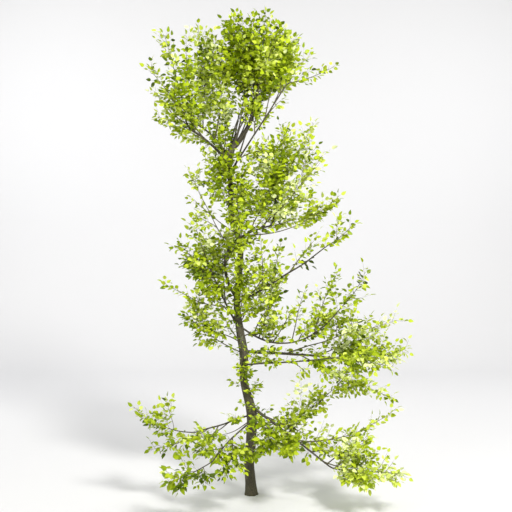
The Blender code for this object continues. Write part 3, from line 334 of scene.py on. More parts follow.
# Growth
STEM_RADIUS = 0.0085          # at the root of a stem
BROOM_RADIUS = STEM_RADIUS * 1.9
STEM_SHARE = 0.85             # of its limb's radius there, at most
STEM_TIP_RADIUS = 0.0014
SHOOT_SPACING = 0.045         # of stem for each shoot
FEWEST_SHOOTS = 3
SHOOT_ANGLES = (36.0, 60.0)   # between a shoot and its stem, in degrees
SHOOT_LIFT = 0.30             # how far a shoot turns up, as a share of its length
SHOOT_SAG = 0.06              # how far its middle bows down
TIP_LOSS = 0.65               # of a mass's spread, that is gone by the stem's tip
SHOOT_LENGTHS = (0.42, 1.45)  # of that reach
TURN_SCATTER = 0.4            # of a shoot's turn round its stem, in radians
GOLDEN_ANGLE = math.pi * (3.0 - math.sqrt(5.0))     # from each shoot round to the next
SHOOT_RADIUS = 0.0021
SHOOT_TIP_RADIUS = 0.0008
TWIG_SPACING = 0.050          # of shoot for each side twig
TWIG_ANGLES = (38.0, 58.0)
TWIG_SHARES = (0.25, 0.45)    # of the shoot's length
TWIG_REACH = 1.3              # times the shoot's length, where its side twigs would come to nothing
SHORTEST_TWIG = 0.035
TWIG_RADIUS = 0.0011
TWIG_TIP_RADIUS = 0.0006
TUFT_DEPTH = 0.9              # of its limb's radius, where a tuft's shoot starts
TUFT_LEAN = 0.5               # how far it runs on along its limb for the way it goes out
TUFT_LIFT = 0.4               # and how far it turns up
TUFT_SPACING = 0.13           # of a limb for each tuft
TUFT_LENGTHS = (0.07, 0.16)
TUFT_LIGHT = -0.3             # how many tints lighter its leaves are than the usual: less than none, for painted shade on leaves close to the trunk and limbs
CLEARANCE = 0.012             # between a shoot and a limb that it passes
GROUND_CLEARANCE = 0.02
OVERHANG = 0.03               # that a leaf may reach out of the solids' room

# Leaves
LEAF_LENGTHS = (0.064, 0.102)
END_LEAF = 0.06               # a stem or shoot is this much shorter, for the leaf at its end
LEAF_START = 0.16             # of a shoot or twig is bare below its first leaf
LEAF_ROLL = 0.9               # how far a leaf or twig turns round its shoot, in radians
TWIG_ROLL = 0.7
LEAF_KINDS = (                # how much a leaf folds, curls down and twists
    (0.26, 0.10, 0.10),
    (0.14, 0.20, -0.18),
    (0.36, 0.04, 0.05),
    (0.20, 0.28, 0.22),
)
LEAF_SPACING = 0.0266         # of shoot or twig for each leaf
CROWDING = 1.2                # leaves stand closer near the root of their shoot
THINNING = 0.8                # how much further apart they stand at a mass's tip
LEAF_ANGLES = (35.0, 70.0)    # between a leaf and its twig, in degrees
LEAF_TILT = 1.2               # how far its upper side leans from straight up, at most
LEAF_DROOP = 0.25             # how far a leaf hangs, as a share of its direction
STALK_SHARE = 0.24            # of a leaf's length is its stalk
LEAF_WIDTH = 0.74             # of its blade's length
LEAF_STATIONS = (0.0, 0.12, 0.31, 0.50, 0.69, 0.87, 1.0)    # its teeth, along the blade
NOTCH_PLACE = 0.40            # of the way from one tooth to the next
NOTCH_DEPTH = 0.87            # of the blade's width there is left
BLADE_BLUNTNESS = 0.6         # the less, the blunter a blade's root
BLADE_WIDEST = 0.347          # what the curve of its width comes to where it is widest
STALK_THICKNESS = 0.010       # of a leaf's length
STALK_SIDES = 3
STALK_LAP = 0.04              # of it runs on under the blade

# Bark
TRUNK_SIDES = 64
BARK_STEP = 0.014             # between two rings of the trunk's or a bough's skin
BOUGH_SIDES = 20
STEM_SIDES = 7
STEM_STEP = 0.030
SHOOT_SIDES = 4
SHOOT_STEP = 0.045
TWIG_SIDES = 3
TWIG_STEP = 0.040
ROOT_SPREAD = 0.45            # a limb's root is this much thicker than its own radius
ROOT_RUN = 1.3                # radii over which that thickening is gone
COLLAR_RISE = 0.34            # of a limb's radius, that its carrier swells round it
COLLAR_RUN = 1.7              # radii over which the swelling is gone
FURROW_DEPTH = 0.0016
FURROW_GRAIN = (62.0, 62.0, 7.0)      # waves a metre round and along the trunk
FURROW_SHARE = 0.22           # how wide the furrows lie, as a share of that wave
SWELLING = 0.05               # of a limb's radius
SWELLING_GRAIN = (9.0, 9.0, 5.0)      # waves a metre round and along it
LOBE_RISE = 0.016             # how far the root flare's lobes stand out at the ground
LOBE_HEIGHT = 0.085           # over which they fade
LOBE_TURNS = 1.7              # the more, the more of them there are

# Tints of the leaves, from shaded to sunlit
Tint = namedtuple("Tint", "name colour")
TINTS = (
    Tint("deep", (0.065, 0.107, 0.0)),
    Tint("moss", (0.138, 0.216, 0.001)),
    Tint("fern", (0.242, 0.342, 0.002)),
    Tint("leaf", (0.352, 0.462, 0.006)),
    Tint("fresh", (0.456, 0.565, 0.019)),
    Tint("lime", (0.558, 0.665, 0.068)),
    Tint("bright", (0.672, 0.776, 0.188)),
    Tint("pale", (0.823, 0.896, 0.434)),
)
TINT_MIDDLE = 3.35            # the usual tint, counted from the darkest
SPRAY_VARIETY = 1.30          # how far the tints of sprays differ, at random: partly the leaves' own colour, partly painted light and shade
LEAF_VARIETY = 0.90           # and of the leaves of one spray, the same way

# Surfaces
LEAF_SURFACE = {
    "Roughness": 0.45,
    "Specular IOR Level": 0.22,
    "Sheen Weight": 0.02,
    "Sheen Tint": (0.85, 1.0, 0.45),
}
TWIG_DARK = (0.052, 0.043, 0.020)
TWIG_LIGHT = (0.125, 0.112, 0.048)
TWIG_STREAKS = (300.0, 300.0, 30.0)   # waves a metre round and along it
TWIG_DETAIL = 2.0
TWIG_ROUGHNESS = 0.62

# Colours of the bark, then its cracks' waves a metre and their width, its pores to the metre and their
# size, how much lichen lies on it, how rough it is and how deep its cracks are
Bark = namedtuple(
    "Bark", "name light dark crack pore lichen damp pitch width spacing size patches roughness depth")
TRUNK_BARK = Bark(
    name="trunk bark",
    light=(0.145, 0.129, 0.083),
    dark=(0.060, 0.053, 0.032),
    crack=(0.028, 0.023, 0.015),
    pore=(0.050, 0.041, 0.028),
    lichen=(0.230, 0.234, 0.155),
    damp=(0.080, 0.076, 0.038),
    pitch=(90.0, 90.0, 9.0),
    width=0.055,
    spacing=(22.0, 22.0, 75.0),
    size=0.30,
    patches=0.45,
    roughness=0.86,
    depth=0.0012,
)
BOUGH_BARK = Bark(
    name="bough bark",
    light=(0.105, 0.093, 0.067),
    dark=(0.043, 0.037, 0.026),
    crack=(0.020, 0.017, 0.012),
    pore=(0.150, 0.132, 0.096),
    lichen=(0.170, 0.176, 0.116),
    damp=(0.050, 0.045, 0.028),
    pitch=(130.0, 130.0, 12.0),
    width=0.030,
    spacing=(42.0, 42.0, 120.0),
    size=0.26,
    patches=0.30,
    roughness=0.80,
    depth=0.0005,
)
NOISE_MIDDLE = 0.5            # cracks lie where a noise from 0 to 1 crosses it
NOISE_ROUGHNESS = 0.55
CRACK_DETAIL = 3.0
CRACK_COVER = 0.8             # how much of its own colour a crack shows
FIBRE_PITCH = (420.0, 420.0, 22.0)    # waves a metre round and along a limb
FIBRE_DETAIL = 4.0
FIBRE_ROUGHNESS = 0.65
FIBRE_DEPTH = 0.35            # of a crack's
FIBRE_RANGE = (0.30, 0.70)    # of the fibres' noise, from the most shaded to the least
FIBRE_SHADE = 0.35            # how much of the dark bark shows where it is most shaded
SMOOTH_RANGE = (0.2, 0.8)     # of the same noise, from the smoothest bark to the roughest
SMOOTH_SPREAD = (-0.08, 0.06)         # what that adds to the bark's roughness
PORE_COVER = 0.8
PORE_DEPTH = 0.3              # of a crack's
PORE_CORE = 0.6               # of a pore's size is full dark
LICHEN_PITCH = (14.0, 14.0, 9.0)      # waves a metre along X, Y and Z
LICHEN_DETAIL = 5.0
LICHEN_ROUGHNESS = 0.6
LICHEN_EDGE = 0.72            # of the noise, where a patch starts on bark with none
LICHEN_FALL = 0.3             # and how far that falls with lichen all over
LICHEN_SOFTNESS = 0.06
LICHEN_COVER = 0.7
MOTTLE_PITCH = (5.0, 5.0, 2.2)
MOTTLE_DETAIL = 3.0
MOTTLE_RANGE = (0.3, 0.7)     # of its noise, from the dark bark to the light
DAMP_HEIGHT = 0.35            # above the ground, in metres, where it has dried out
DAMP_RAGGED = 0.2             # how far that strays
DAMP_COVER = 0.6

# Stage, lights and camera
STAGE_NEAR = 14.0
STAGE_FAR = 9.0
STAGE_TURN = 4.0
STAGE_TURN_STEPS = 24
STAGE_HEIGHT = 26.0
STAGE_WIDTH = 30.0
STAGE_SURFACE = {"Base Color": (0.765, 0.768, 0.790), "Roughness": 0.9}
AIM = Vector((0.2, 0.0, 3.0))         # the middle of the tree
WALL_AIM = Vector((0.0, 12.0, 4.0))
SOFTBOXES = (                 # name, place, what it aims at, size across, power and colour
    ("key_softbox", (5.0, -8.0, 10.0), AIM, 2.5, 1600.0, (1.0, 0.98, 0.94)),
    ("fill_softbox", (-8.0, -8.0, 6.0), AIM, 5.0, 370.0, (1.0, 1.0, 0.94)),
    ("wall_softbox_left", (-9.0, 4.0, 9.0), WALL_AIM, 6.0, 540.0, (1.0, 1.0, 1.0)),
    ("wall_softbox_right", (9.0, 4.0, 9.0), WALL_AIM, 6.0, 400.0, (1.0, 1.0, 1.0)),
)
SKY_COLOUR = (1.0, 0.99, 0.94)
SKY_STRENGTH = 0.42
VIEW = "Standard"
CAMERA_LENS = 50.0
CAMERA_SENSOR = 36.0
CAMERA_PLACE = (0.062, -8.78, 2.938)


class Line:
    """The line of a limb or twig: an even arc that wanders a little, from its carrier's heading."""

    def __init__(self, root, span, bow, name, wander, start=None):
        self.root = root
        self.span = span
        self.bow = bow
        self.length = span.length
        self.wander = wander
        self.phase = Vector((random.Random(name).uniform(0.0, WANDER_ROOM), 0.0, 0.0))
        self.turn = start * self.length - (span + bow * 4.0) if start else Vector()

    def at(self, share):
        place = self.root + self.span * share + self.bow * (4.0 * share * (1.0 - share))
        place += self.turn * (share * (1.0 - share) ** SETTLE)
        stray = noise.noise_vector(self.phase + Vector((share * self.length * WANDER_PITCH, 0.0, 0.0)))
        return place + stray * self.wander * min(1.0, WANDER_ONSET * share)

    def heading(self, share):
        onward = self.at(min(share + HEADING_STEP, 1.0))
        return (onward - self.at(max(share - HEADING_STEP, 0.0))).normalized()

    def points(self, step, end=1.0):
        count = max(2, math.ceil(self.length * end / step))
        return [self.at(end * i / count) for i in range(count + 1)]


class TrunkLine:
    """The trunk's line and radius at any height, in smooth curves through its stations."""

    def at(self, height):
        return Vector((self.blend(height, "x"), self.blend(height, "y"), height))

    def heading(self, height):
        return (self.at(height + HEADING_STEP) - self.at(height - HEADING_STEP)).normalized()

    def blend(self, height, field):
        last = len(TRUNK) - 1
        i = max(k for k in range(last) if TRUNK[k].height <= height or k == 0)
        lower, upper = TRUNK[i], TRUNK[i + 1]
        run = upper.height - lower.height
        t = (height - lower.height) / run
        slopes = []
        for k in (i, i + 1):
            below, above = TRUNK[max(k - 1, 0)], TRUNK[min(k + 1, last)]
            slopes.append((getattr(above, field) - getattr(below, field)) / (above.height - below.height))
        start, end = getattr(lower, field), getattr(upper, field)
        ease = t * t * (3.0 - 2.0 * t)
        bend = slopes[0] * t * (1.0 - t) ** 2 - slopes[1] * t * t * (1.0 - t)
        return start + (end - start) * ease + bend * run


def put_in_scene(name, data):
    """An object of its data, linked into the scene."""
    made = bpy.data.objects.new(name, data)
    bpy.context.scene.collection.objects.link(made)
    return made


def smooth_piece(name, corners, faces, material):
    """An object of a mesh that is shaded smooth."""
    mesh = bpy.data.meshes.new(name)
    mesh.from_pydata(corners, [], faces)
    mesh.shade_smooth()
    mesh.materials.append(material)
    return put_in_scene(name, mesh)


class Skin:
    """Gathers tubes, rings of points joined by faces, into one mesh with its grain."""

    def __init__(self):
        self.corners = []
        self.grain = []
        self.faces = []
        self.count = 0

    def add(self, points, radii, sides, relief=None, flat_foot=False):
        """A tube along points. The grain runs round and along it; relief moves its skin outwards."""
        centres = np.array([tuple(p) for p in points])
        runs = np.linalg.norm(np.diff(centres, axis=0), axis=1)
        along = np.concatenate([[0.0], np.cumsum(runs)])
        side, rise = ring_axes(points, flat_foot)
        turns = np.arange(sides) * (2.0 * math.pi / sides)
        cosines, sines = np.cos(turns), np.sin(turns)
        spokes = side[:, None, :] * cosines[None, :, None] + rise[:, None, :] * sines[None, :, None]
        radii = np.array(radii)[:, None] * np.ones(sides)[None, :]
        corners = centres[:, None, :] + spokes * radii[:, :, None]
        grain = np.stack([cosines * radii, sines * radii, along[:, None] * np.ones(sides)], axis=2)
        if relief:
            corners = corners + spokes * relief(corners, grain, radii)[:, :, None]
        rings = len(points)
        starts = self.count + np.arange(rings - 1)[:, None] * sides
        first = starts + np.arange(sides)
        onward = starts + (np.arange(sides) + 1) % sides
        quads = np.stack([first, onward, onward + sides, first + sides], axis=2).reshape(-1, 4)
        self.faces += quads.tolist()
        self.faces.append(list(range(self.count + sides - 1, self.count - 1, -1)))
        last = self.count + (rings - 1) * sides
        self.faces.append(list(range(last, last + sides)))
        self.corners.append(corners.reshape(-1, 3))
        self.grain.append(grain.reshape(-1, 3))
        self.count += rings * sides

    def piece(self, name, material):
        piece = smooth_piece(name, np.concatenate(self.corners), self.faces, material)
        grain = piece.data.attributes.new("grain", "FLOAT_VECTOR", "POINT")
        grain.data.foreach_set("vector", np.concatenate(self.grain).ravel())
        return piece


def ring_axes(points, flat_foot):
    """Two axes across each point of a line, carried along it without twist."""
    headings = [(points[min(i + 1, len(points) - 1)] - points[max(i - 1, 0)]).normalized()
                for i in range(len(points))]
    if flat_foot:
        headings[0] = UP
    side = headings[0].orthogonal().normalized()
    sides = []
    rises = []
    for heading in headings:
        side = (side - heading * side.dot(heading)).normalized()
        sides.append(tuple(side))
        rises.append(tuple(heading.cross(side)))
    return np.array(sides), np.array(rises)


def noise_at(places, scales):
    """Smooth noise, from minus one to one, at every row of an array stretched by scales."""
    return np.array([noise.noise(place) for place in (places * np.array(scales)).tolist()])


def bark_relief(collars, furrow=0.0, lobes=0.0):
    """How far the skin of a limb stands out of its even taper, at every corner."""

    def relief(corners, grain, radii):
        places = corners.reshape(-1, 3)
        lines = grain.reshape(-1, 3)
        crack = np.abs(noise_at(lines, FURROW_GRAIN))
        out = -furrow * np.clip(1.0 - crack / FURROW_SHARE, 0.0, 1.0)
        out += SWELLING * radii.reshape(-1) * noise_at(lines, SWELLING_GRAIN)
        for centre, radius in collars:
            near = np.linalg.norm(places - np.array(centre), axis=1) / (radius * COLLAR_RUN)
            out += COLLAR_RISE * radius * np.exp(-near * near)
        if lobes:
            around = lines / radii.reshape(-1)[:, None] * np.array((1.0, 1.0, 0.0))
            lobe = noise_at(around, (LOBE_TURNS, LOBE_TURNS, 1.0))
            out += lobes * np.exp(-places[:, 2] / LOBE_HEIGHT) * lobe
        return out.reshape(radii.shape)

    return relief


def leaf_frame(direction, face):
    """Axes of a leaf as columns: X from its root to its tip, Z out of its upper side."""
    along = direction.normalized()
    across = face.cross(along).normalized()
    return Matrix((along, across, along.cross(across))).transposed()


def blade_width(share):
    """A blade's width along its length, for its widest: blunt at its root and long at its tip."""
    return share ** BLADE_BLUNTNESS * (1.0 - share) / BLADE_WIDEST


def leaf_pattern(fold, curl, twist):
    """Corners and faces of a leaf of length one on its stalk, folded up along its midrib."""
    corners = []
    faces = []
    blade = 1.0 - STALK_SHARE

    def place(share, aside):
        """A point of the blade: aside runs from its midrib to its edge."""
        half = LEAF_WIDTH / 2.0 * blade * blade_width(share)
        across = aside * half
        lift = abs(across) * fold - curl * blade * share * share + twist * across * share
        return (STALK_SHARE + blade * share, across * math.sqrt(1.0 - fold * fold), lift)

    ribs = []
    for share in LEAF_STATIONS:
        ribs.append(len(corners))
        corners.append(place(share, 0.0))
    edges = {}
    for side in (-1, 1):
        edges[side] = []
        for i, share in enumerate(LEAF_STATIONS[1:-1]):
            edges[side].append(len(corners))
            corners.append(place(share, side))
            notch = share + (LEAF_STATIONS[i + 2] - share) * NOTCH_PLACE
            edges[side].append(len(corners))
            corners.append(place(notch, side * NOTCH_DEPTH))
    for side in (-1, 1):
        rim = edges[side]
        strips = [(ribs[0], ribs[1], rim[0])]
        for i in range(len(LEAF_STATIONS) - 3):
            tooth, notch, onward = rim[2 * i], rim[2 * i + 1], rim[2 * i + 2]
            near, far = ribs[i + 1], ribs[i + 2]
            strips += [(near, notch, tooth), (near, far, notch), (far, onward, notch)]
        strips += [(ribs[-2], rim[-1], rim[-2]), (ribs[-2], ribs[-1], rim[-1])]
        faces += [strip if side > 0 else strip[::-1] for strip in strips]
    stalk = len(corners)
    for x, thickness in ((0.0, STALK_THICKNESS), (STALK_SHARE + STALK_LAP, STALK_THICKNESS / 2.0)):
        for i in range(STALK_SIDES):
            turn = 2.0 * math.pi * i / STALK_SIDES
            sunk = thickness * math.sin(turn) - STALK_THICKNESS / 2.0
            corners.append((x, thickness * math.cos(turn), sunk))
    for i in range(STALK_SIDES):
        near, onward = stalk + i, stalk + (i + 1) % STALK_SIDES
        faces.append((near, onward, onward + STALK_SIDES))
        faces.append((near, onward + STALK_SIDES, near + STALK_SIDES))
    return np.array(corners), np.array(faces)


class Foliage:
    """Gathers the leaves of one tint, as places to set one of a few patterns at."""

    def __init__(self):
        self.frames = []
        self.roots = []
        self.lengths = []
        self.kinds = []

    def add(self, root, axes, length, kind):
        self.frames.append([list(row) for row in axes])
        self.roots.append(tuple(root))
        self.lengths.append(length)
        self.kinds.append(kind)

    def piece(self, name, patterns, material):
        """Every leaf, joined into one mesh."""
        corners = []
        faces = []
        count = 0
        kinds = np.array(self.kinds)
        for kind, (shape, pattern_faces) in enumerate(patterns):
            chosen = np.flatnonzero(kinds == kind)
            frames = np.array(self.frames)[chosen]
            places = np.einsum("nij,kj->nki", frames, shape) * np.array(self.lengths)[chosen][:, None, None]
            places += np.array(self.roots)[chosen][:, None, :]
            corners.append(places.reshape(-1, 3))
            starts = count + np.arange(len(chosen)) * len(shape)
            faces.append((pattern_faces[None, :, :] + starts[:, None, None]).reshape(-1, 3))
            count += len(chosen) * len(shape)
        return smooth_piece(name, np.concatenate(corners), np.concatenate(faces), material)


def limb_line(limb, carrier, wander, on_tip):
    """The line of a limb from its carrier, from the same sizes as its solid."""
    turn = math.radians(limb.bearing)
    outwards = Vector((math.cos(turn), math.sin(turn), 0.0))
    lift = (UP * limb.reach - outwards * limb.rise) / math.hypot(limb.reach, limb.rise)
    bow = lift * limb.arch + UP.cross(outwards) * limb.sway
    start = carrier.heading(limb.place) if on_tip else None
    return Line(carrier.at(limb.place), outwards * limb.reach + UP * limb.rise, bow, limb.name, wander, start)


def in_room(point):
    """Whether a point is above the ground and in the room that the solids take up."""
    if point.z < GROUND_CLEARANCE:
        return False
    sides = zip(CAD_BOX[0], point, CAD_BOX[1])
    return all(low - OVERHANG < place < high + OVERHANG for low, place, high in sides)


def sits_on_tip(limb):
    return limb.place == (TRUNK[-1].height if limb.parent == "trunk" else 1.0)


def taper(points, root_radius, tip_radius):
    last = len(points) - 1
    return [root_radius + (tip_radius - root_radius) * i / last for i in range(last + 1)]


def rooted(points, radii):
    """The radii of a limb that thickens into its carrier's side."""
    along = 0.0
    out = []
    for i, radius in enumerate(radii):
        along += (points[i] - points[i - 1]).length if i else 0.0
        out.append(radius * (1.0 + ROOT_SPREAD * math.exp(-along / (ROOT_RUN * radii[0]))))
    return out


class Birch:
    """Grows the tree limb by limb, mass by mass, and gathers what it is made of."""

    def __init__(self):
        self.lines = {"trunk": TrunkLine()}
        self.tapers = {}
        self.paths = {}
        self.carriers = {"trunk": "trunk"}
        self.collars = {}
        self.obstacles = []
        self.trunk = Skin()
        self.boughs = Skin()
        self.twigs = Skin()
        self.foliage = {tint.name: Foliage() for tint in TINTS}

    def grow(self):
        self.lay_trunk()
        for limb in LIMBS:
            self.lay_limb(limb, LIMB_WANDER, BARK_STEP, limb.root_radius, limb.tip_radius)
        self.note_obstacles()
        for mass in MASSES + THIN_STEMS:
            thick = BROOM_RADIUS if mass.name.startswith("broom") else STEM_RADIUS
            thickest = min(thick, self.radius_at(mass.parent, mass.place) * STEM_SHARE)
            self.lay_limb(mass, STEM_WANDER, STEM_STEP, thickest, STEM_TIP_RADIUS, END_LEAF)
        self.skin_limbs()
        for mass in MASSES + THIN_STEMS:
            self.grow_mass(mass)
        for height, bearing, length in TRUNK_TUFTS:
            self.grow_tuft("trunk", height, bearing, length)
        for limb in LIMBS:
            if limb.name in BARE_LIMBS:
                continue
            dice = random.Random(limb.name)
            length = self.lines[limb.name].length
            for number in range(1, int(length / TUFT_SPACING)):
                place = number * TUFT_SPACING / length
                self.grow_tuft(limb.name, place, dice.uniform(0.0, 360.0), dice.uniform(*TUFT_LENGTHS))

    def lay_trunk(self):
        line = self.lines["trunk"]
        count = math.ceil(TRUNK[-1].height / BARK_STEP)
        heights = [TRUNK[-1].height * i / count for i in range(count + 1)]
        self.paths["trunk"] = ([line.at(h) for h in heights], [line.blend(h, "radius") for h in heights])

    def lay_limb(self, limb, wander, step, root_radius, tip_radius, end_leaf=0.0):
        """Lay a limb's path: one on a tip runs on in its carrier's, one on a side starts its own."""
        on_tip = sits_on_tip(limb)
        line = limb_line(limb, self.lines[limb.parent], wander, on_tip)
        points = line.points(step, 1.0 - end_leaf / line.length)
        carrier = self.carriers[limb.parent]
        if on_tip:
            path, radii = self.paths[carrier]
            radii += taper(points, radii[-1], tip_radius)[1:]
            path += points[1:]
            self.carriers[limb.name] = carrier
        else:
            self.paths[limb.name] = (points, rooted(points, taper(points, root_radius, tip_radius)))
            self.carriers[limb.name] = limb.name
            bared = self.radius_at(limb.parent, limb.place) / line.length
            self.collars.setdefault(carrier, []).append((line.at(bared), root_radius))
        self.lines[limb.name] = line
        self.tapers[limb.name] = (root_radius, tip_radius)

    def radius_at(self, name, place):
        if name == "trunk":
            return self.lines["trunk"].blend(place, "radius")
        root_radius, tip_radius = self.tapers[name]
        return root_radius + (tip_radius - root_radius) * place

    def note_obstacles(self):
        """Balls along the trunk and limbs, that shoots keep clear of."""
        for points, radii in self.paths.values():
            self.obstacles += [(*point, radius) for point, radius in zip(points, radii)]
        self.obstacles = np.array(self.obstacles)

    def is_clear(self, points):
        """Whether a shoot, past its root, stays in its room and off the trunk and limbs."""
        for point in points[1:]:
            if not in_room(point):
                return False
            away = np.linalg.norm(self.obstacles[:, :3] - np.array(point), axis=1)
            if np.any(away < self.obstacles[:, 3] + CLEARANCE):
                return False
        return True

    def skin_limbs(self):
        for name, (points, radii) in self.paths.items():
            collars = self.collars.get(name, [])
            if name == "trunk":
                relief = bark_relief(collars, FURROW_DEPTH, LOBE_RISE)
                self.trunk.add(points, radii, TRUNK_SIDES, relief, flat_foot=True)
            elif radii[0] > STEM_RADIUS * (1.0 + ROOT_SPREAD):
                self.boughs.add(points, radii, BOUGH_SIDES, bark_relief(collars))
            else:
                self.twigs.add(points, radii, STEM_SIDES)

    def grow_mass(self, mass):
        """Shoots spiral round the stem, shorter towards its tip, and turn up to the light."""
        dice = random.Random(mass.name)
        stem = self.lines[mass.name]
        bare = mass.bare
        count = max(FEWEST_SHOOTS, round(stem.length * (1.0 - bare) / (SHOOT_SPACING * math.sqrt(mass.thin))))
        end = 1.0 - END_LEAF / stem.length
        for number in range(count):
            place = bare + (end - bare) * (number + 0.5) / count
            heading = stem.heading(place)
            turn = number * GOLDEN_ANGLE + dice.uniform(-TURN_SCATTER, TURN_SCATTER)
            side = heading.orthogonal().normalized()
            side.rotate(Matrix.Rotation(turn, 3, heading))
            angle = math.radians(dice.uniform(*SHOOT_ANGLES))
            length = mass.spread * (1.0 - TIP_LOSS * place) * dice.uniform(*SHOOT_LENGTHS)
            length = max(length - END_LEAF, SHORTEST_TWIG)
            span = (heading * math.cos(angle) + side * math.sin(angle) + UP * SHOOT_LIFT) * length
            name = f"{mass.name} {number}"
            shoot = Line(stem.at(place), span, UP * -SHOOT_SAG * length, name, length * TWIG_WANDER)
            if self.is_clear(shoot.points(SHOOT_STEP)):
                sparse = math.sqrt(mass.thin) * (1.0 + THINNING * place * place)
                # The spray's tint: the mass's painted sunlight and shade, with some at random
                self.grow_shoot(shoot, name, dice, mass.light + dice.gauss(0.0, SPRAY_VARIETY), sparse)
        self.grow_leaves(stem, dice, mass.light, 1.0 + THINNING / 2.0, bare, end)

    def grow_tuft(self, carrier, place, bearing, length):
        """A shoot from just under a limb's skin, that leans out and on along the limb."""
        name = f"{carrier} tuft {place:.2f}"
        line = self.lines[carrier]
        heading = line.heading(place)
        turn = math.radians(bearing)
        side = Vector((math.cos(turn), math.sin(turn), 0.0))
        side = (side - heading * side.dot(heading)).normalized()
        root = line.at(place) + side * self.radius_at(carrier, place) * TUFT_DEPTH
        span = (side + heading * TUFT_LEAN + UP * TUFT_LIFT).normalized() * length
        shoot = Line(root, span, Vector(), name, length * TWIG_WANDER)
        self.grow_shoot(shoot, name, random.Random(name), TUFT_LIGHT)

    def grow_shoot(self, shoot, name, dice, light, sparse=1.0):
        """A shoot with side twigs, left and right in turn, and leaves on both."""
        points = shoot.points(SHOOT_STEP)
        self.twigs.add(points, taper(points, SHOOT_RADIUS, SHOOT_TIP_RADIUS), SHOOT_SIDES)
        self.grow_leaves(shoot, dice, light, sparse)
        count = int(shoot.length / (TWIG_SPACING * sparse)) - 1
        for number in range(count):
            place = (number + 1.0) / (count + 1.0)
            heading = shoot.heading(place)
            side = heading.cross(UP).normalized() * (1.0 if number % 2 else -1.0)
            side.rotate(Matrix.Rotation(dice.uniform(-TWIG_ROLL, TWIG_ROLL), 3, heading))
            angle = math.radians(dice.uniform(*TWIG_ANGLES))
            length = shoot.length * dice.uniform(*TWIG_SHARES) * (TWIG_REACH - place)
            span = (heading * math.cos(angle) + side * math.sin(angle)) * max(length, SHORTEST_TWIG)
            twig = Line(shoot.at(place), span, Vector(), f"{name} {number}", span.length * TWIG_WANDER)
            points = twig.points(TWIG_STEP)
            if self.is_clear(points):
                self.twigs.add(points, taper(points, TWIG_RADIUS, TWIG_TIP_RADIUS), TWIG_SIDES)
                self.grow_leaves(twig, dice, light, sparse)

    def grow_leaves(self, line, dice, light, sparse, start=LEAF_START, end=1.0):
        """Leaves left and right in turn along a line, and one that runs on from its end."""
        count = max(1, round(line.length * (end - start) / (LEAF_SPACING * sparse)))
        for number in range(count + 1):
            place = start + (end - start) * (number / count) ** CROWDING
            heading = line.heading(place)
            side = heading.cross(UP).normalized() * (1.0 if number % 2 else -1.0)
            side.rotate(Matrix.Rotation(dice.uniform(-LEAF_ROLL, LEAF_ROLL), 3, heading))
            angle = math.radians(dice.uniform(*LEAF_ANGLES)) if number < count else 0.0
            direction = heading * math.cos(angle) + side * math.sin(angle) - UP * LEAF_DROOP
            face = UP + Vector([dice.uniform(-LEAF_TILT, LEAF_TILT) for _ in range(3)])
            length = dice.uniform(*LEAF_LENGTHS)
            # A tint on the scale from painted shade to painted sunlight
            level = TINT_MIDDLE + light + dice.gauss(0.0, LEAF_VARIETY)
            tint = TINTS[min(max(round(level), 0), len(TINTS) - 1)]
            root = line.at(place)
            kind = dice.randrange(len(LEAF_KINDS))
            if in_room(root + direction.normalized() * length):
                self.foliage[tint.name].add(root, leaf_frame(direction, face), length, kind)


def feed(tree, socket, value):
    """Give a socket a number, a vector or a colour, or link it to the socket that its value comes from."""
    if isinstance(value, bpy.types.NodeSocket):
        tree.links.new(value, socket)
    elif socket.type == "RGBA":
        socket.default_value = (*value, 1.0)
    else:
        socket.default_value = value


def new_group(name, inputs, outputs):
    """An empty shader group, and what it is given: inputs and outputs are kinds of socket by name."""
    group = bpy.data.node_groups.new(name, "ShaderNodeTree")
    for way, sockets in (("INPUT", inputs), ("OUTPUT", outputs)):
        for label, kind in sockets.items():
            group.interface.new_socket(label, in_out=way, socket_type="NodeSocket" + kind)
    return group, group.nodes.new("NodeGroupInput").outputs


def give_out(group, **values):
    """Close a group: link each of its outputs to the socket that its value comes from."""
    made = group.nodes.new("NodeGroupOutput")
    for label, value in values.items():
        feed(group, made.inputs[label], value)
    return group


def place_group(tree, group, **values):
    """The outputs of a group, with some of its inputs given."""
    node = tree.nodes.new("ShaderNodeGroup")
    node.node_tree = group
    for label, value in values.items():
        feed(tree, node.inputs[label], value)
    return node.outputs


def maths(tree, operation, *values):
    """A Math node; each value is a number or the socket it comes from."""
    node = tree.nodes.new("ShaderNodeMath")
    node.operation = operation
    for socket, value in zip(node.inputs, values):
        feed(tree, socket, value)
    return node.outputs[0]


def blend_colours(tree, share, first, second):
    """A colour Mix node; each value is a colour, a number or the socket it comes from."""
    node = tree.nodes.new("ShaderNodeMix")
    node.data_type = "RGBA"
    for number, value in ((0, share), (6, first), (7, second)):
        feed(tree, node.inputs[number], value)
    return node.outputs[2]


def ramp(tree, value, low, high, out_low=0.0, out_high=1.0):
    """A smooth step from one value to another."""
    node = tree.nodes.new("ShaderNodeMapRange")
    node.interpolation_type = "SMOOTHSTEP"
    for socket, number in zip(node.inputs, (value, low, high, out_low, out_high)):
        feed(tree, socket, number)
    return node.outputs[0]


def stretched(tree, vector, scales):
    """A vector stretched by scales, a triple or a socket."""
    node = tree.nodes.new("ShaderNodeVectorMath")
    node.operation = "MULTIPLY"
    feed(tree, node.inputs[0], vector)
    feed(tree, node.inputs[1], scales)
    return node.outputs[0]


def stretched_noise(tree, vector, scales, detail, roughness=NOISE_ROUGHNESS):
    """Noise from 0 to 1 over a vector stretched by scales."""
    texture = tree.nodes.new("ShaderNodeTexNoise")
    feed(tree, texture.inputs["Vector"], stretched(tree, vector, scales))
    feed(tree, texture.inputs["Scale"], 1.0)
    feed(tree, texture.inputs["Detail"], detail)
    feed(tree, texture.inputs["Roughness"], roughness)
    return texture.outputs["Fac"]


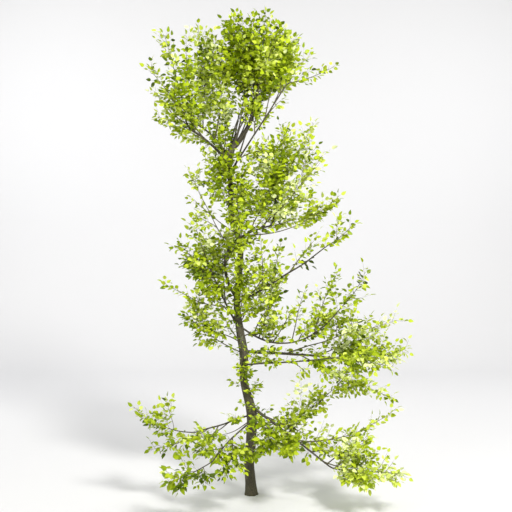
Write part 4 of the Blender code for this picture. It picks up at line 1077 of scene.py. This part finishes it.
def furrow_group():
    """Fine cracks and fibres that run along a limb."""
    group, given = new_group(
        "bark furrows",
        {"Grain": "Vector", "Pitch": "Vector", "Width": "Float"},
        {"Furrow": "Float", "Fibre": "Float", "Height": "Float"})
    wave = stretched_noise(group, given["Grain"], given["Pitch"], CRACK_DETAIL)
    crack = maths(group, "ABSOLUTE", maths(group, "SUBTRACT", wave, NOISE_MIDDLE))
    furrow = ramp(group, crack, 0.0, given["Width"], 1.0, 0.0)
    fibre = stretched_noise(group, given["Grain"], FIBRE_PITCH, FIBRE_DETAIL, FIBRE_ROUGHNESS)
    height = maths(group, "SUBTRACT", maths(group, "MULTIPLY", fibre, FIBRE_DEPTH), furrow)
    return give_out(group, Furrow=furrow, Fibre=fibre, Height=height)


def lenticel_group():
    """Short level pores, wider round the limb than they are high."""
    group, given = new_group(
        "lenticels", {"Grain": "Vector", "Spacing": "Vector", "Size": "Float"}, {"Pore": "Float"})
    cells = group.nodes.new("ShaderNodeTexVoronoi")
    feed(group, cells.inputs["Scale"], 1.0)
    feed(group, cells.inputs["Vector"], stretched(group, given["Grain"], given["Spacing"]))
    core = maths(group, "MULTIPLY", given["Size"], PORE_CORE)
    return give_out(group, Pore=ramp(group, cells.outputs["Distance"], core, given["Size"], 1.0, 0.0))


def weather_group():
    """Patches of pale lichen, and a damp, darker band above the ground."""
    group, given = new_group(
        "weathering",
        {"Place": "Vector", "Lichen": "Float"},
        {"Patch": "Float", "Damp": "Float", "Mottle": "Float"})
    spread = stretched_noise(group, given["Place"], LICHEN_PITCH, LICHEN_DETAIL, LICHEN_ROUGHNESS)
    edge = maths(group, "SUBTRACT", LICHEN_EDGE, maths(group, "MULTIPLY", given["Lichen"], LICHEN_FALL))
    patch = ramp(group, spread, edge, maths(group, "ADD", edge, LICHEN_SOFTNESS))
    mottle = stretched_noise(group, given["Place"], MOTTLE_PITCH, MOTTLE_DETAIL)
    split = group.nodes.new("ShaderNodeSeparateXYZ")
    feed(group, split.inputs[0], given["Place"])
    height = maths(group, "ADD", split.outputs["Z"], maths(group, "MULTIPLY", mottle, DAMP_RAGGED))
    damp = ramp(group, height, 0.0, DAMP_HEIGHT, 1.0, 0.0)
    return give_out(group, Patch=patch, Damp=damp, Mottle=mottle)


def new_material(name):
    """A material, its node tree and its shader."""
    material = bpy.data.materials.new(name)
    material.use_nodes = True
    return material, material.node_tree, material.node_tree.nodes["Principled BSDF"]


def plain_material(name, surface):
    """A material with one value for each of its shader's inputs that surface names."""
    material, tree, shader = new_material(name)
    for label, value in surface.items():
        feed(tree, shader.inputs[label], value)
    return material


def grain_along(tree):
    """The run round and along a limb that its skin was made with."""
    grain = tree.nodes.new("ShaderNodeAttribute")
    grain.attribute_name = "grain"
    return grain.outputs["Vector"]


def bark_material(bark, furrows, lenticels, weather):
    """Grey-brown bark with cracks along it, level pores, lichen and a damp foot."""
    material, tree, shader = new_material(bark.name)
    along = grain_along(tree)
    place = tree.nodes.new("ShaderNodeTexCoord").outputs["Object"]
    cracks = place_group(tree, furrows, Grain=along, Pitch=bark.pitch, Width=bark.width)
    pores = place_group(tree, lenticels, Grain=along, Spacing=bark.spacing, Size=bark.size)
    worn = place_group(tree, weather, Place=place, Lichen=bark.patches)
    tone = blend_colours(tree, ramp(tree, worn["Mottle"], *MOTTLE_RANGE), bark.dark, bark.light)
    coats = (
        (maths(tree, "MULTIPLY", worn["Patch"], LICHEN_COVER), bark.lichen),
        (ramp(tree, cracks["Fibre"], *FIBRE_RANGE, FIBRE_SHADE, 0.0), bark.dark),
        (maths(tree, "MULTIPLY", pores["Pore"], PORE_COVER), bark.pore),
        (maths(tree, "MULTIPLY", cracks["Furrow"], CRACK_COVER), bark.crack),
        (maths(tree, "MULTIPLY", worn["Damp"], DAMP_COVER), bark.damp),
    )
    for share, colour in coats:
        tone = blend_colours(tree, share, tone, colour)
    feed(tree, shader.inputs["Base Color"], tone)
    limits = [bark.roughness + more for more in SMOOTH_SPREAD]
    feed(tree, shader.inputs["Roughness"], ramp(tree, cracks["Fibre"], *SMOOTH_RANGE, *limits))
    bump = tree.nodes.new("ShaderNodeBump")
    feed(tree, bump.inputs["Strength"], 1.0)
    feed(tree, bump.inputs["Distance"], bark.depth)
    sunk = maths(tree, "MULTIPLY", pores["Pore"], PORE_DEPTH)
    feed(tree, bump.inputs["Height"], maths(tree, "SUBTRACT", cracks["Height"], sunk))
    feed(tree, shader.inputs["Normal"], bump.outputs["Normal"])
    return material


def twig_material():
    """Thin brown bark, darker and lighter in streaks."""
    material, tree, shader = new_material("twig bark")
    streak = stretched_noise(tree, grain_along(tree), TWIG_STREAKS, TWIG_DETAIL)
    feed(tree, shader.inputs["Base Color"], blend_colours(tree, streak, TWIG_DARK, TWIG_LIGHT))
    feed(tree, shader.inputs["Roughness"], TWIG_ROUGHNESS)
    return material


# One plain leaf material for each tint: lit and shaded copies of one leaf colour, with the light painted in
def leaf_material(tint):
    return plain_material(f"{tint.name} leaf", {"Base Color": tint.colour, **LEAF_SURFACE})


def dress():
    """Make every piece, hide the solids that it stands for, and tie it to the root body."""
    noise.seed_set(NOISE_SEED)
    tree = Birch()
    tree.grow()
    groups = (furrow_group(), lenticel_group(), weather_group())
    bough_bark = bark_material(BOUGH_BARK, *groups)
    masses = [mass.name for mass in MASSES]
    trunk = tree.trunk.piece("trunk_skin", bark_material(TRUNK_BARK, *groups))
    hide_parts("trunk", "crown_leader")
    boughs = tree.boughs.piece("bough_skin", bough_bark)
    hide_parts(*[limb.name for limb in LIMBS if limb.name != "crown_leader"])
    twigs = tree.twigs.piece("twigs", twig_material())
    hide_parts(*masses)
    pieces = [trunk, boughs, twigs]
    patterns = [leaf_pattern(*kind) for kind in LEAF_KINDS]
    for tint in TINTS:
        leaves = tree.foliage[tint.name].piece(f"{tint.name}_leaves", patterns, leaf_material(tint))
        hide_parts(*masses)
        pieces.append(leaves)
    for piece in pieces:
        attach(piece, "root")


def set_stage():
    """A pale floor that curves up into a pale wall, far behind the tree."""
    profile = [(-STAGE_NEAR, 0.0)]
    for i in range(STAGE_TURN_STEPS + 1):
        turn = math.pi / 2.0 * i / STAGE_TURN_STEPS
        profile.append((STAGE_FAR + STAGE_TURN * math.sin(turn), STAGE_TURN * (1.0 - math.cos(turn))))
    profile.append((STAGE_FAR + STAGE_TURN, STAGE_HEIGHT))
    corners = [(side * STAGE_WIDTH, y, z) for y, z in profile for side in (-1.0, 1.0)]
    faces = [(2 * i, 2 * i + 1, 2 * i + 3, 2 * i + 2) for i in range(len(profile) - 1)]
    floor = smooth_piece("stage", corners, faces, plain_material("pale floor", STAGE_SURFACE))


def add_softbox(name, place, aim, size, power, colour):
    lamp = bpy.data.lights.new(name, "AREA")
    lamp.shape = "DISK"
    lamp.size = size
    lamp.energy = power
    lamp.color = colour
    softbox = put_in_scene(name, lamp)
    softbox.location = place
    softbox.rotation_euler = (aim - Vector(place)).to_track_quat("-Z", "Y").to_euler()


def set_lights_and_camera():
    for lamp in SOFTBOXES:
        add_softbox(*lamp)
    world = bpy.data.worlds.new("soft sky")
    world.use_nodes = True
    sky = world.node_tree.nodes["Background"]
    feed(world.node_tree, sky.inputs["Color"], SKY_COLOUR)
    feed(world.node_tree, sky.inputs["Strength"], SKY_STRENGTH)
    bpy.context.scene.world = world
    bpy.context.scene.view_settings.view_transform = VIEW
    lens = bpy.data.cameras.new("camera")
    lens.lens = CAMERA_LENS
    lens.sensor_width = CAMERA_SENSOR
    camera = put_in_scene("camera", lens)
    camera.location = CAMERA_PLACE
    camera.rotation_euler = (math.pi / 2.0, 0.0, 0.0)
    bpy.context.scene.camera = camera


dress()
set_stage()
set_lights_and_camera()
